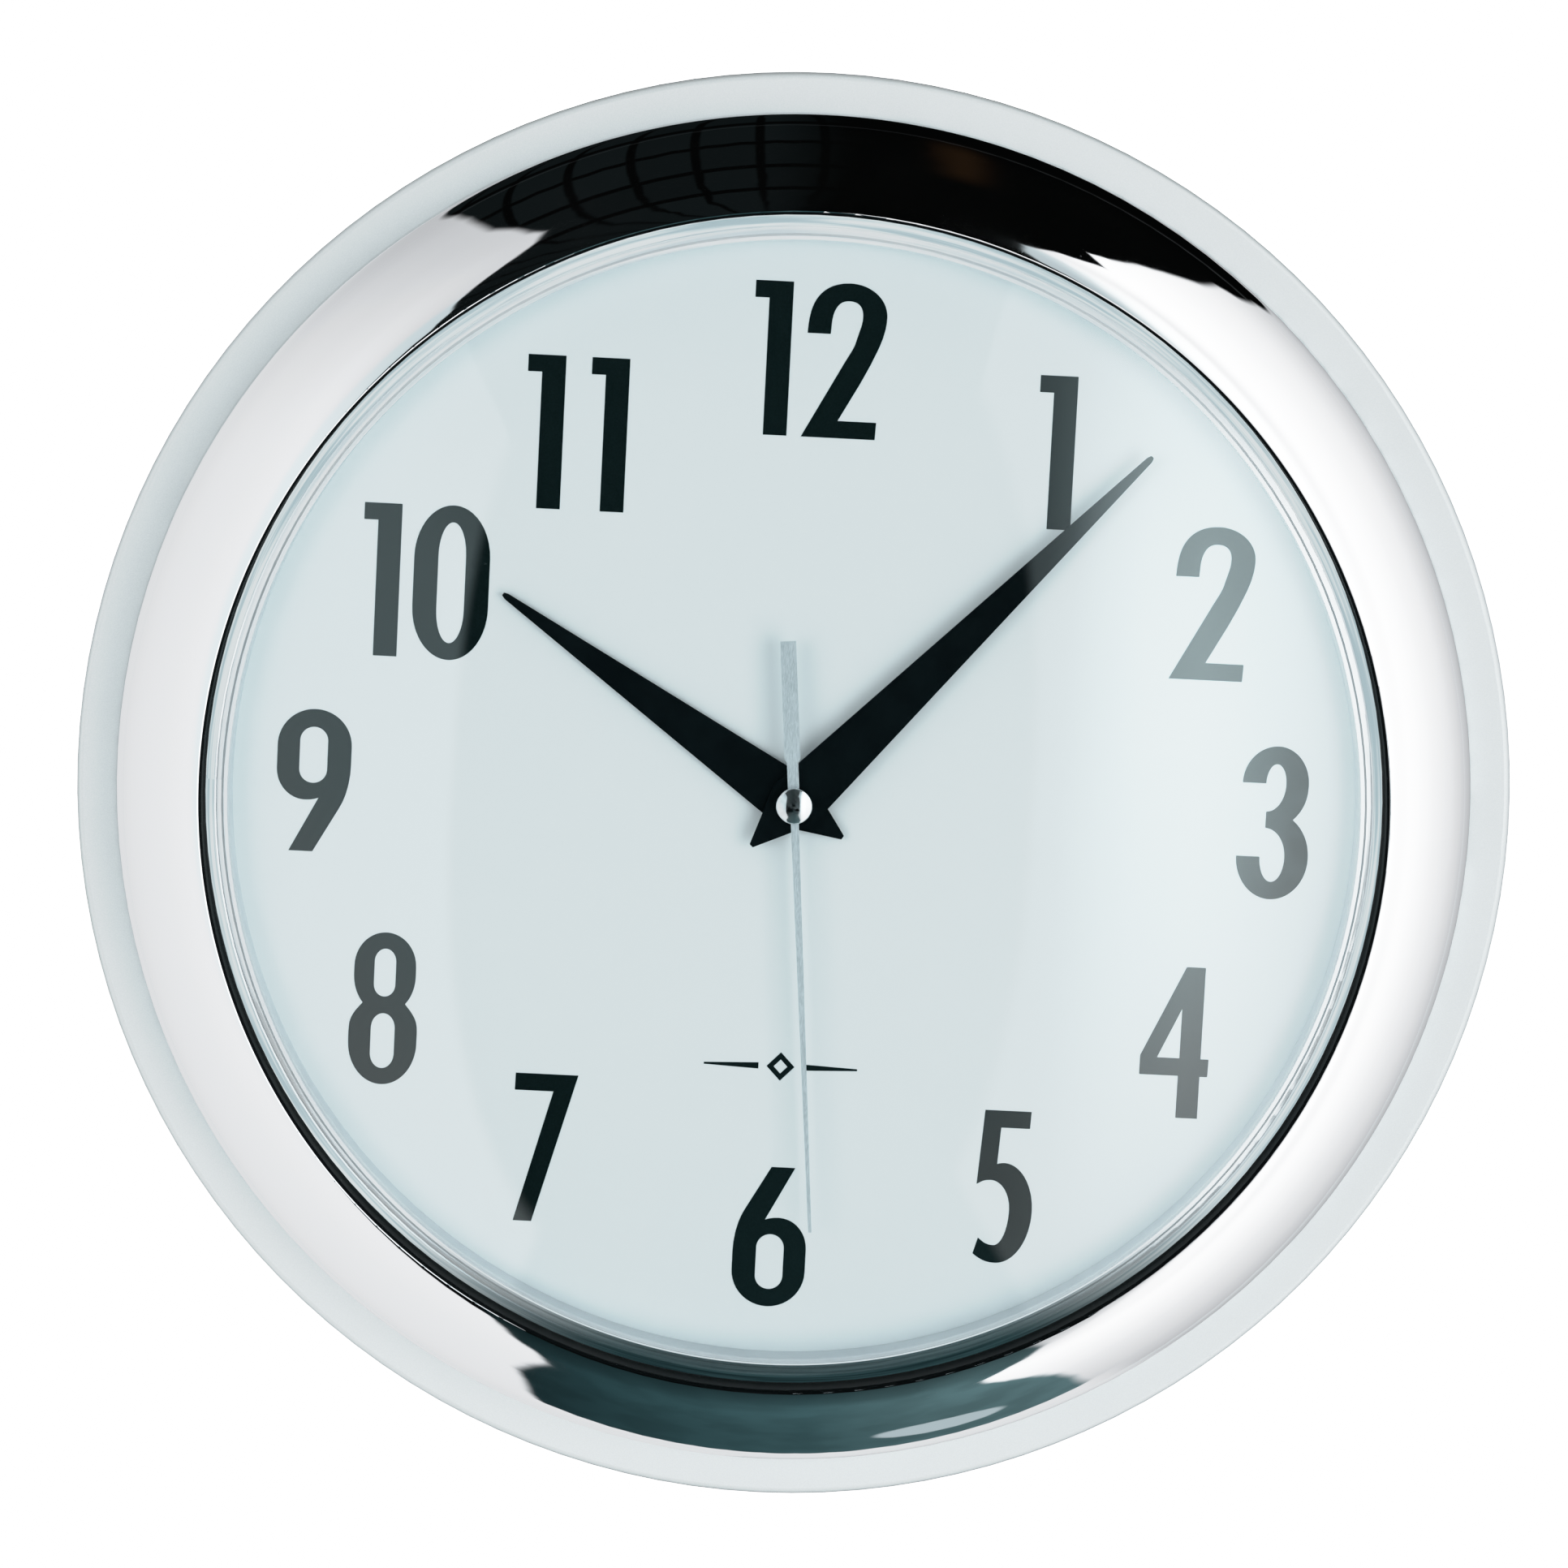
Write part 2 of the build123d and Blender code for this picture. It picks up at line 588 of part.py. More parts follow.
def dial_ornament():
    """Small open lozenge between two tapered bars on the lower dial."""
    bar_in_x, bar_out_x = 4.6, 16.0
    bar_in_half, bar_out_half = 0.65, 0.2
    with BuildPart() as ornament:
        with BuildSketch(front(DIAL_D)):
            with BuildLine():
                lozenge(2.9, 3.0)
            make_face()
            with BuildLine():
                lozenge(1.45, 1.5)
            make_face(mode=Mode.SUBTRACT)
            for side in (-1, 1):
                with BuildLine():
                    Polyline(
                        (side * bar_in_x, ORNAMENT_Z + bar_in_half),
                        (side * bar_out_x, ORNAMENT_Z + bar_out_half),
                        (side * bar_out_x, ORNAMENT_Z - bar_out_half),
                        (side * bar_in_x, ORNAMENT_Z - bar_in_half),
                        close=True,
                    )
                make_face()
        extrude(amount=INK)
    return ornament.part


# ---------------------------------------------------------------- hands
def kite_hand(length, depth, turn, shaft_r, collar_r):
    """Long kite with a pointed tail, its wide point on the hand axis, and a
    collar behind it that is pressed on the shaft."""
    bore = shaft_r + PRESS_GAP
    with BuildPart() as hand:
        with BuildSketch(front(depth, turn=turn)):
            with BuildLine():
                mirrored_outline([
                    (TIP_HALF_W * 0.5, length),
                    (TIP_HALF_W, length - 0.9),
                    (HAND_HALF_W, 0),
                    (0.45, -(TAIL_LEN - 0.5)),
                ])
            make_face()
            Circle(bore, mode=Mode.SUBTRACT)
        extrude(amount=HAND_T)
        disc(HAND_AXIS, collar_r, depth - COLLAR_LEN, depth, bore=bore)
    return hand.part


def hour_hand():
    return kite_hand(HOUR_LEN, HOUR_HAND_D, HOUR_DEG, HOUR_TUBE_R, collar_r=3.5)


def minute_hand():
    return kite_hand(MINUTE_LEN, MINUTE_HAND_D, MINUTE_DEG, CANNON_R, collar_r=2.6)


def second_hand():
    """Slim pointer with a round hub and a broad straight tail."""
    bore = ARBOR_R + PRESS_GAP
    with BuildPart() as hand:
        with BuildSketch(front(SECOND_HAND_D, turn=SECOND_DEG)):
            with BuildLine():
                mirrored_outline([
                    (0.33, SECOND_LEN),
                    (0.85, 0),
                    (1.17, 0),
                    (1.17, -9.0),
                    (1.63, -9.6),
                    (1.63, -SECOND_TAIL),
                ])
            make_face()
            Circle(2.3)
            Circle(bore, mode=Mode.SUBTRACT)
        extrude(amount=SECOND_T)
        # socket tube behind the hand, pressed on the seconds arbor
        disc(HAND_AXIS, 1.1, SECOND_HAND_D - SOCKET_LEN, SECOND_HAND_D, bore=bore)
    return hand.part


def second_hand_cap():
    """Domed metal cap over the second-hand hub."""
    cap_r = 3.75
    dome_r = cap_r - 0.4
    back_d = SECOND_HAND_D + SECOND_T
    side_d, dome_d, top_d = back_d + 1.3, back_d + 1.75, back_d + 2.08
    with BuildPart() as cap:
        with BuildSketch(Plane.XY):
            with BuildLine():
                profile_line(
                    (0, back_d), (cap_r - 0.15, back_d), (cap_r, back_d + 0.2), (cap_r, side_d)
                )
                profile_arc((cap_r, side_d), (cap_r - 0.11, back_d + 1.57), (dome_r, dome_d))
                profile_arc((dome_r, dome_d), dome_mid(dome_r, top_d, dome_d), (0, top_d))
                profile_line((0, top_d), (0, back_d))
            make_face()
        revolve(axis=Axis.Y)
    return cap.part


# ---------------------------------------------------------------- movement case
def movement_front_case():
    """Front half: open box with the gear bearings and the battery bay."""
    cavity_back_d = CASE_BACK_D + LID_T
    cavity_front_d = CASE_FRONT_D - CASE_WALL
    gear_bay_top = CASE_TOP - CASE_WALL
    ear_back_d = CASE_BACK_D + 2.2
    with BuildPart() as case:
        block(
            0, CASE_MID, CASE_W, CASE_TOP - CASE_BOT, cavity_back_d + 0.1, CASE_FRONT_D,
            corner=CASE_CORNER,
        )
        for bottom, top in ((GEAR_BAY_BOT, gear_bay_top), (BATTERY_BAY_BOT, BATTERY_BAY_TOP)):
            block(
                0, (bottom + top) / 2, 2 * INNER_X, top - bottom,
                cavity_back_d, cavity_front_d, corner=0.8, mode=Mode.SUBTRACT,
            )
        # shaft bushing
        disc(HAND_AXIS, BUSH_R, CASE_FRONT_D - 0.1, CASE_FRONT_D + 2.8)
        disc(HAND_AXIS, BUSH_BORE_R, CASE_FRONT_D - 2, CASE_FRONT_D + 4, mode=Mode.SUBTRACT)
        # front bearings, blind holes in short bosses
        for axis in PIVOT_AXES + [SET_AXIS]:
            disc(axis, 1.2, cavity_front_d - 0.25, cavity_front_d + 0.25)
            disc(
                axis, PIVOT_HOLE_R, cavity_front_d - 0.3, cavity_front_d + 1.0,
                mode=Mode.SUBTRACT,
            )
        # mounting ears
        with BuildSketch(front(ear_back_d)):
            with Locations((31.0, -5.0), (-31.0, -5.0)):
                RectangleRounded(10.0, 9.0, 1.5)
            with Locations(*MOVEMENT_SCREWS):
                Circle(1.6, mode=Mode.SUBTRACT)
            Rectangle(CASE_W - 2, 20, mode=Mode.SUBTRACT)
        extrude(amount=PAN_D - 0.1 - ear_back_d)
    return case.part


def movement_rear_cover():
    """Rear half: lid over the gears with the rear bearings."""
    lid_front_d = CASE_BACK_D + LID_T
    hole_back_d = CASE_BACK_D + 0.7
    groove_back_d = CASE_BACK_D - 0.5
    with BuildPart() as cover:
        block(
            0, (BATTERY_BAY_TOP + CASE_TOP) / 2, CASE_W, CASE_TOP - BATTERY_BAY_TOP,
            CASE_BACK_D, lid_front_d, corner=CASE_CORNER,
        )
        for axis in PIVOT_AXES + [HAND_AXIS]:
            disc(axis, 1.3, lid_front_d, lid_front_d + 0.4)
        for axis in PIVOT_AXES:
            disc(axis, PIVOT_HOLE_R, hole_back_d, hole_back_d + 2.0, mode=Mode.SUBTRACT)
        disc(HAND_AXIS, ARBOR_R + 0.05, hole_back_d, hole_back_d + 2.0, mode=Mode.SUBTRACT)
        # through hole for the setting shaft
        disc(
            SET_AXIS, SETTING_SHAFT_R + 0.06, CASE_BACK_D - 1, CASE_BACK_D + 2,
            mode=Mode.SUBTRACT,
        )
        # shallow moulded grooves around the knob and along the lid
        disc(SET_AXIS, 8.2, groove_back_d, groove_back_d + 0.8, bore=7.6, mode=Mode.SUBTRACT)
        with BuildSketch(front(groove_back_d)):
            with GridLocations(1, 2.4, 1, 5):
                with Locations((-14.0, 6.0)):
                    SlotOverall(20.0, 0.9)
        extrude(amount=0.8, mode=Mode.SUBTRACT)
    return cover.part


# ---------------------------------------------------------------- screws
def pan_screws(points, head_d, head_r, head_h, shank_r, shank_len):
    """Pan-head screws driven from behind, each with a cross recess."""
    shoulder_d = head_d + head_h
    recess_d = head_d - 0.1
    recess_end_d = recess_d + head_h * 0.6
    recess_len, recess_w = head_r * 1.2, 0.6
    with BuildPart() as screws:
        for x, z in points:
            disc((x, z), head_r * 0.82, head_d, head_d + head_h * 0.35)
            disc((x, z), head_r, head_d + head_h * 0.3, shoulder_d)
            disc((x, z), shank_r, shoulder_d - 0.05, shoulder_d + shank_len)
            for width, height in ((recess_len, recess_w), (recess_w, recess_len)):
                block(x, z, width, height, recess_d, recess_end_d, mode=Mode.SUBTRACT)
    return screws.part


def movement_screws():
    return pan_screws(
        MOVEMENT_SCREWS, head_d=5.55, head_r=2.5, head_h=1.6, shank_r=1.2, shank_len=8.0
    )


def case_screws():
    angles = [
        math.radians(SCREW_START + 360 / SCREW_COUNT * i) for i in range(SCREW_COUNT)
    ]
    points = [(SCREW_PCD_R * math.cos(a), SCREW_PCD_R * math.sin(a)) for a in angles]
    return pan_screws(
        points, head_d=0.8, head_r=2.8, head_h=1.65, shank_r=1.35, shank_len=19.5
    )


def hanger_screws():
    return pan_screws(
        HANGER_SCREWS, head_d=1.1, head_r=2.4, head_h=1.45, shank_r=1.2, shank_len=6.0
    )


def hanger_plate():
    """Steel plate with a keyhole, held off the pan so a screw head can enter."""
    slot_w = 4.4
    with BuildPart() as plate:
        with BuildSketch(front(2.6, 0, HANGER_Z)):
            RectangleRounded(36.0, 24.0, 2.0)
            with Locations((0, -3.5)):
                Circle(5.0, mode=Mode.SUBTRACT)
            with Locations((0, 3.0)):
                Rectangle(slot_w, 9.0, mode=Mode.SUBTRACT)
            with Locations((0, 7.5)):
                Circle(slot_w / 2, mode=Mode.SUBTRACT)
            with Locations(*[(x, 0) for x, z in HANGER_SCREWS]):
                Circle(1.5, mode=Mode.SUBTRACT)
        extrude(amount=1.2)
    return plate.part


# ---------------------------------------------------------------- gear helpers
def gear_points(teeth, module, phase_deg):
    """Closed involute-like outline with slim teeth, one tooth centred on phase_deg."""
    pitch = module * teeth / 2
    base = pitch * math.cos(PRESSURE_ANGLE)
    tip = pitch + ADDENDUM * module
    foot = pitch - DEDENDUM * module
    half_tooth = math.pi / (2 * teeth) - TOOTH_SLACK / (2 * pitch)

    def involute(radius):
        angle = math.acos(base / radius)
        return math.tan(angle) - angle

    # one flank from root to tip, as (radius, half angle of the tooth)
    flank_start = max(base, foot)
    flank = []
    for radius in (flank_start, pitch - 0.35 * module, pitch, pitch + 0.5 * module, tip):
        if radius >= flank_start:
            half_angle = half_tooth + involute(pitch) - involute(radius)
            flank.append((radius, max(half_angle, 0.02 / radius)))
    if foot < base:
        flank.insert(0, (foot, flank[0][1] * 0.92 + 0.02 / foot))

    outline = []
    for i in range(teeth):
        centre = math.radians(phase_deg) + 2 * math.pi * i / teeth
        corners = [(radius, centre - half) for radius, half in flank]
        corners += [(radius, centre + half) for radius, half in reversed(flank)]
        outline += [(r * math.cos(a), r * math.sin(a)) for r, a in corners]
    return outline


def toward(start, end):
    """Angle in degrees from one axis to another in the viewer's X-Z plane."""
    return math.degrees(math.atan2(end[1] - start[1], end[0] - start[0]))


def gear(axis, teeth, module, phase, start, end, bore=0.0):
    """One toothed disc between two depths."""
    with BuildSketch(front(start, *axis)) as toothed:
        with BuildLine():
            Polyline(*gear_points(teeth, module, phase), close=True)
        make_face()
        if bore:
            Circle(bore, mode=Mode.SUBTRACT)
    extrude(toothed.sketch, amount=end - start)


def pinion(mesh, axis, mate, start, end):
    """Small gear of a mesh, with a tooth gap facing the mating axis."""
    module, teeth, _ = mesh
    gear(axis, teeth, module, toward(axis, mate) + 180 / teeth, start, end)


def wheel(mesh, axis, mate, web, windows, bore=0.0):
    """Large gear of a mesh, with a tooth facing the mating axis.  web is its
    (start, end) depth; windows are round holes, (ring radius, radius, count)."""
    module, _, teeth = mesh
    start, end = web
    gear(axis, teeth, module, toward(axis, mate), start, end, bore)
    ring_r, window_r, count = windows
    with BuildSketch(front(start - 0.5, *axis)) as holes:
        with PolarLocations(ring_r, count):
            Circle(window_r)
    extrude(holes.sketch, amount=end - start + 1.0, mode=Mode.SUBTRACT)


def geared_arbor(axis, shaft, hub, wheel_mesh, driver, web, windows,
                 pinion_mesh, driven, pinion_end):
    """Shaft with a hub behind its wheel and a pinion in front.  shaft is
    (radius, front depth); hub is (radius, rear depth)."""
    with BuildPart() as arbor:
        disc(axis, shaft[0], PIVOT_BACK_D, shaft[1])
        disc(axis, hub[0], hub[1], web[0] + 0.05)
        wheel(wheel_mesh, axis, driver, web, windows)
        pinion(pinion_mesh, axis, driven, web[1] - 0.1, pinion_end)
    return arbor.part


# ---------------------------------------------------------------- gear train
def rotor_pinion():
    with BuildPart() as rotor:
        disc(ROTOR_AXIS, PIVOT_R, PIVOT_BACK_D, PIVOT_FRONT_D)
        disc(ROTOR_AXIS, ROTOR_SHAFT_R, 7.1, 10.55)
        pinion(ROTOR_MESH, ROTOR_AXIS, INTER_AXIS, 10.5, 12.4)
        disc(ROTOR_AXIS, 0.7, 12.3, 18.6)
    return rotor.part


def rotor_magnet():
    with BuildPart() as magnet:
        disc(ROTOR_AXIS, 3.0, 7.4, 10.3, bore=ROTOR_SHAFT_R + PRESS_GAP)
    return magnet.part


def intermediate_wheel():
    return geared_arbor(
        INTER_AXIS, shaft=(PIVOT_R, PIVOT_FRONT_D), hub=(0.9, 8.0),
        wheel_mesh=ROTOR_MESH, driver=ROTOR_AXIS, web=(11.0, 11.8), windows=(4.4, 1.3, 5),
        pinion_mesh=INTER_MESH, driven=HAND_AXIS, pinion_end=13.8,
    )


def seconds_wheel():
    return geared_arbor(
        HAND_AXIS, shaft=(ARBOR_R, SECOND_HAND_D + SECOND_T - 0.1), hub=(1.5, 9.0),
        wheel_mesh=INTER_MESH, driver=INTER_AXIS, web=(12.8, 13.6), windows=(6.0, 1.9, 5),
        pinion_mesh=SECONDS_MESH, driven=THIRD_AXIS, pinion_end=15.2,
    )


def third_wheel():
    return geared_arbor(
        THIRD_AXIS, shaft=(PIVOT_R, PIVOT_FRONT_D), hub=(1.0, 9.0),
        wheel_mesh=SECONDS_MESH, driver=HAND_AXIS, web=(14.4, 15.2), windows=(6.4, 2.0, 5),
        pinion_mesh=THIRD_MESH, driven=HAND_AXIS, pinion_end=17.0,
    )


def centre_wheel():
    """Wheel that drives the cannon pinion through a friction fit."""
    with BuildPart() as centre:
        wheel(
            THIRD_MESH, HAND_AXIS, THIRD_AXIS, web=(15.8, 16.6), windows=(6.6, 1.9, 6),
            bore=CANNON_R + 0.03,
        )
    return centre.part


def cannon_pinion():
    """Tube that carries the minute hand, with a pinion and a rear flange."""
    with BuildPart() as cannon:
        disc(HAND_AXIS, CANNON_R, 15.7, MINUTE_HAND_D + HAND_T + 0.2)
        pinion(CANNON_MESH, HAND_AXIS, SET_AXIS, 16.75, 17.9)
        disc(HAND_AXIS, 2.1, 15.35, 15.75)
        disc(HAND_AXIS, CANNON_BORE_R, 15.0, 29.0, mode=Mode.SUBTRACT)
    return cannon.part


def minute_wheel():
    """Wheel and pinion on the setting shaft."""
    with BuildPart() as minute:
        disc(SET_AXIS, SETTING_SHAFT_R, 4.1, 15.2)
        disc(SET_AXIS, 0.6, 15.1, 17.0)
        wheel(CANNON_MESH, SET_AXIS, HAND_AXIS, web=(16.9, 17.7), windows=(5.4, 1.7, 5))
        pinion(HOUR_MESH, SET_AXIS, HAND_AXIS, 17.6, 19.0)
        disc(SET_AXIS, PIVOT_R, 18.9, PIVOT_FRONT_D)
    return minute.part


def setting_knob():
    """Knob with a notched rim and a ring and bar sunk in its rear face."""
    crest_r, notch_r, steps = 6.2, 5.8, 96
    rim = []
    for i in range(steps):
        radius = crest_r if i % 4 in (0, 1) else notch_r
        angle = 2 * math.pi * i / steps
        rim.append((radius * math.cos(angle), radius * math.sin(angle)))
    with BuildPart() as knob:
        with BuildSketch(front(2.0, *SET_AXIS)):
            with BuildLine():
                Polyline(*rim, close=True)
            make_face()
        extrude(amount=2.6)
        with BuildSketch(front(1.5, *SET_AXIS)):
            Circle(4.4)
            Circle(3.6, mode=Mode.SUBTRACT)
            Rectangle(7.6, 1.0)
        extrude(amount=0.9, mode=Mode.SUBTRACT)
        disc(SET_AXIS, SETTING_SHAFT_R + PRESS_GAP, 4.05, 6.05, mode=Mode.SUBTRACT)
    return knob.part


def hour_wheel():
    """Wheel with the tube that carries the hour hand."""
    with BuildPart() as hour:
        disc(HAND_AXIS, HOUR_TUBE_R, 18.05, HOUR_HAND_D + HAND_T + 0.2)
        wheel(HOUR_MESH, HAND_AXIS, SET_AXIS, web=(18.1, 18.9), windows=(6.2, 1.7, 6))
        disc(HAND_AXIS, HOUR_BORE_R, 17.5, 27.5, mode=Mode.SUBTRACT)
    return hour.part


# ---------------------------------------------------------------- motor and electrics
COIL_X, COIL_Z = 23.6, -6.5
COIL_LEN = 13.0
BOBBIN_BACK_D = 9.3
CONTACT_X = INNER_X - 0.2    # middle of a contact plate, either side


def stator():
    with BuildPart() as plate:
        with BuildSketch(front(8.4)):
            with Locations((19.2, ROTOR_AXIS[1])):
                Rectangle(12.6, 9.4)
            with Locations((COIL_X, 3.0)):
                Rectangle(3.8, 34.0)
            with Locations(ROTOR_AXIS):
                Circle(3.5, mode=Mode.SUBTRACT)
            # narrow necks above and below the rotor steer the flux
            with Locations((ROTOR_AXIS[0], 15.2), (ROTOR_AXIS[0], 5.4)):
                Circle(0.9, mode=Mode.SUBTRACT)
        extrude(amount=0.8)
    return plate.part


def coil_bobbin():
    """Rear plate, two end flanges and the core between them."""
    with BuildPart() as bobbin:
        block(COIL_X, COIL_Z, 4.6, COIL_LEN, BOBBIN_BACK_D, BOBBIN_BACK_D + 0.5)
        for flange_z in (COIL_Z + 6.1, COIL_Z - 6.1):
            block(COIL_X, flange_z, 5.0, 0.8, BOBBIN_BACK_D, BOBBIN_BACK_D + 6.2)
        block(COIL_X, COIL_Z, 2.4, COIL_LEN, 11.2, 13.6)
    return bobbin.part


def coil_winding():
    with BuildPart() as winding:
        block(COIL_X, COIL_Z, 4.6, 11.3, 9.85, 15.05)
        fillet(winding.edges().filter_by(Axis.Z), radius=1.1)
        block(COIL_X, COIL_Z, 2.5, 11.5, 11.15, 13.65, mode=Mode.SUBTRACT)
    return winding.part


def circuit_board():
    with BuildPart() as board:
        block(-19.5, -8.5, 12.5, 12.0, 7.0, 7.8)
    return board.part


def driver_chip():
    with BuildPart() as chip:
        disc((-21.5, -8.5), 2.6, 7.85, 8.95)
        fillet(chip.faces().sort_by(Axis.Y)[0].edges(), radius=0.9)
    return chip.part


def quartz_crystal():
    """Upright can, rounded at its top end."""
    with BuildPart() as crystal:
        with BuildSketch(Plane(origin=(-15.6, -8.95, -13.6), x_dir=(1, 0, 0), z_dir=(0, 0, 1))):
            Circle(1.0)
        extrude(amount=6.0)
        fillet(crystal.faces().sort_by(Axis.Z)[-1].edges(), radius=0.4)
    return crystal.part


def battery():
    """Cell lying across the bottom bay, positive end towards +X."""
    negative_end = Plane(
        origin=(-BATTERY_LEN / 2 - 0.3, -BATTERY_D, BATTERY_Z),
        x_dir=(0, 1, 0),
        z_dir=(1, 0, 0),
    )
    with BuildPart() as cell:
        with BuildSketch(negative_end):
            Circle(BATTERY_R)
        extrude(amount=BATTERY_LEN)
        fillet(cell.edges().filter_by(GeomType.CIRCLE), radius=0.6)
        with BuildSketch(negative_end.offset(BATTERY_LEN - 0.1)):
            Circle(2.7)
        extrude(amount=1.3)
    return cell.part


def contact_plate(x):
    """Upright strip at one end of the battery bay."""
    block(x, BATTERY_Z, 0.3, 9.0, 6.0, 18.4)


def contact_positive():
    with BuildPart() as contact:
        contact_plate(CONTACT_X)
    return contact.part


def contact_negative():
    """Plate with a bowed leaf that presses on the battery."""
    leaf_top = (-CONTACT_X + 0.1, BATTERY_Z + 4.0)
    leaf_bottom = (-CONTACT_X + 0.1, BATTERY_Z - 4.0)
    with BuildPart() as contact:
        contact_plate(-CONTACT_X)
        with BuildSketch(front(9.0)):
            with BuildLine():
                ThreePointArc(leaf_top, (-25.05, BATTERY_Z), leaf_bottom)
                ThreePointArc(leaf_bottom, (-25.35, BATTERY_Z), leaf_top)
            make_face()
        extrude(amount=6.0)
    return contact.part


# ---------------------------------------------------------------- output
# Each function's name is the name of its piece and file.
PIECES = [
    bezel, back_shell, lens, dial_ring, dial, dial_numerals, dial_ornament,
    hour_hand, minute_hand, second_hand, second_hand_cap,
    movement_front_case, movement_rear_cover, movement_screws, case_screws,
    hanger_plate, hanger_screws,
    rotor_pinion, rotor_magnet, intermediate_wheel, seconds_wheel, third_wheel,
    centre_wheel, cannon_pinion, minute_wheel, setting_knob, hour_wheel,
    stator, coil_bobbin, coil_winding, circuit_board, driver_chip, quartz_crystal,
    battery, contact_positive, contact_negative,
]

os.makedirs("parts", exist_ok=True)
for build_piece in PIECES:
    piece = build_piece()
    piece.label = build_piece.__name__
    export_step(piece, f"parts/{piece.label}.step")
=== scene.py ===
"""Round wall clock with a chrome bezel, a clear lens, a battery movement and a hanger.

It stands upright: the dial faces -Y, +Z is up and +X is right as seen from the front.
The hands turn about the Y axis. Lengths are in metres unless a name or comment says mm.
"""

import math

import bpy
from mathutils import Matrix, Vector


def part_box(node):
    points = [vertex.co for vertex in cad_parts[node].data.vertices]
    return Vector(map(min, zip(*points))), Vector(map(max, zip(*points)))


MM = 1000.0                               # millimetres in a metre
TARGET = Vector((0.0, -0.020, 0.0))       # what the lights and camera aim at
WHITE_LEVEL = 4.0                         # scene brightness shown as full white

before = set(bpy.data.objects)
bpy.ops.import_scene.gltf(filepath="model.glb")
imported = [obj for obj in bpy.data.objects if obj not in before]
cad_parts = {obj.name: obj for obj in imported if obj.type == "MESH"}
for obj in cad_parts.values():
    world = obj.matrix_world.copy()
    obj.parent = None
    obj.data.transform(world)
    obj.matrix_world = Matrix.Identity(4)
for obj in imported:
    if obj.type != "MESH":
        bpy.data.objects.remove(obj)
bpy.context.view_layer.update()
scene = bpy.context.scene


# ------------------------------------------------------------ tone
# scene brightness, shown brightness
SHOULDER = [
    (0.0, 0.0), (0.3, 0.3), (0.5, 0.5), (0.62, 0.62), (0.70, 0.688), (0.80, 0.742), (0.95, 0.81),
    (1.1, 0.86), (1.3, 0.90), (1.6, 0.94), (2.0, 0.97), (2.6, 0.99), (3.2, 1.0), (WHITE_LEVEL, 1.0),
]


def draw_curve(curve, points):
    """Straight segments through (x, y) points, on a curve that starts with two points."""
    curve.points[0].location = points[0]
    curve.points[1].location = points[-1]
    for x, y in points[1:-1]:
        curve.points.new(x, y)
    for point in curve.points:
        point.handle_type = "VECTOR"


def soft_shoulder():
    """Rolls highlights off gently, as a camera does, so bright panels keep some tone."""
    view = scene.view_settings
    view.view_transform = "Standard"
    view.look = "None"
    view.exposure = 0.0
    view.gamma = 1.0
    view.use_curve_mapping = True
    mapping = view.curve_mapping
    mapping.white_level = (WHITE_LEVEL,) * 3
    mapping.black_level = (0.0, 0.0, 0.0)
    draw_curve(mapping.curves[3], [(x / WHITE_LEVEL, y) for x, y in SHOULDER])
    mapping.update()


soft_shoulder()


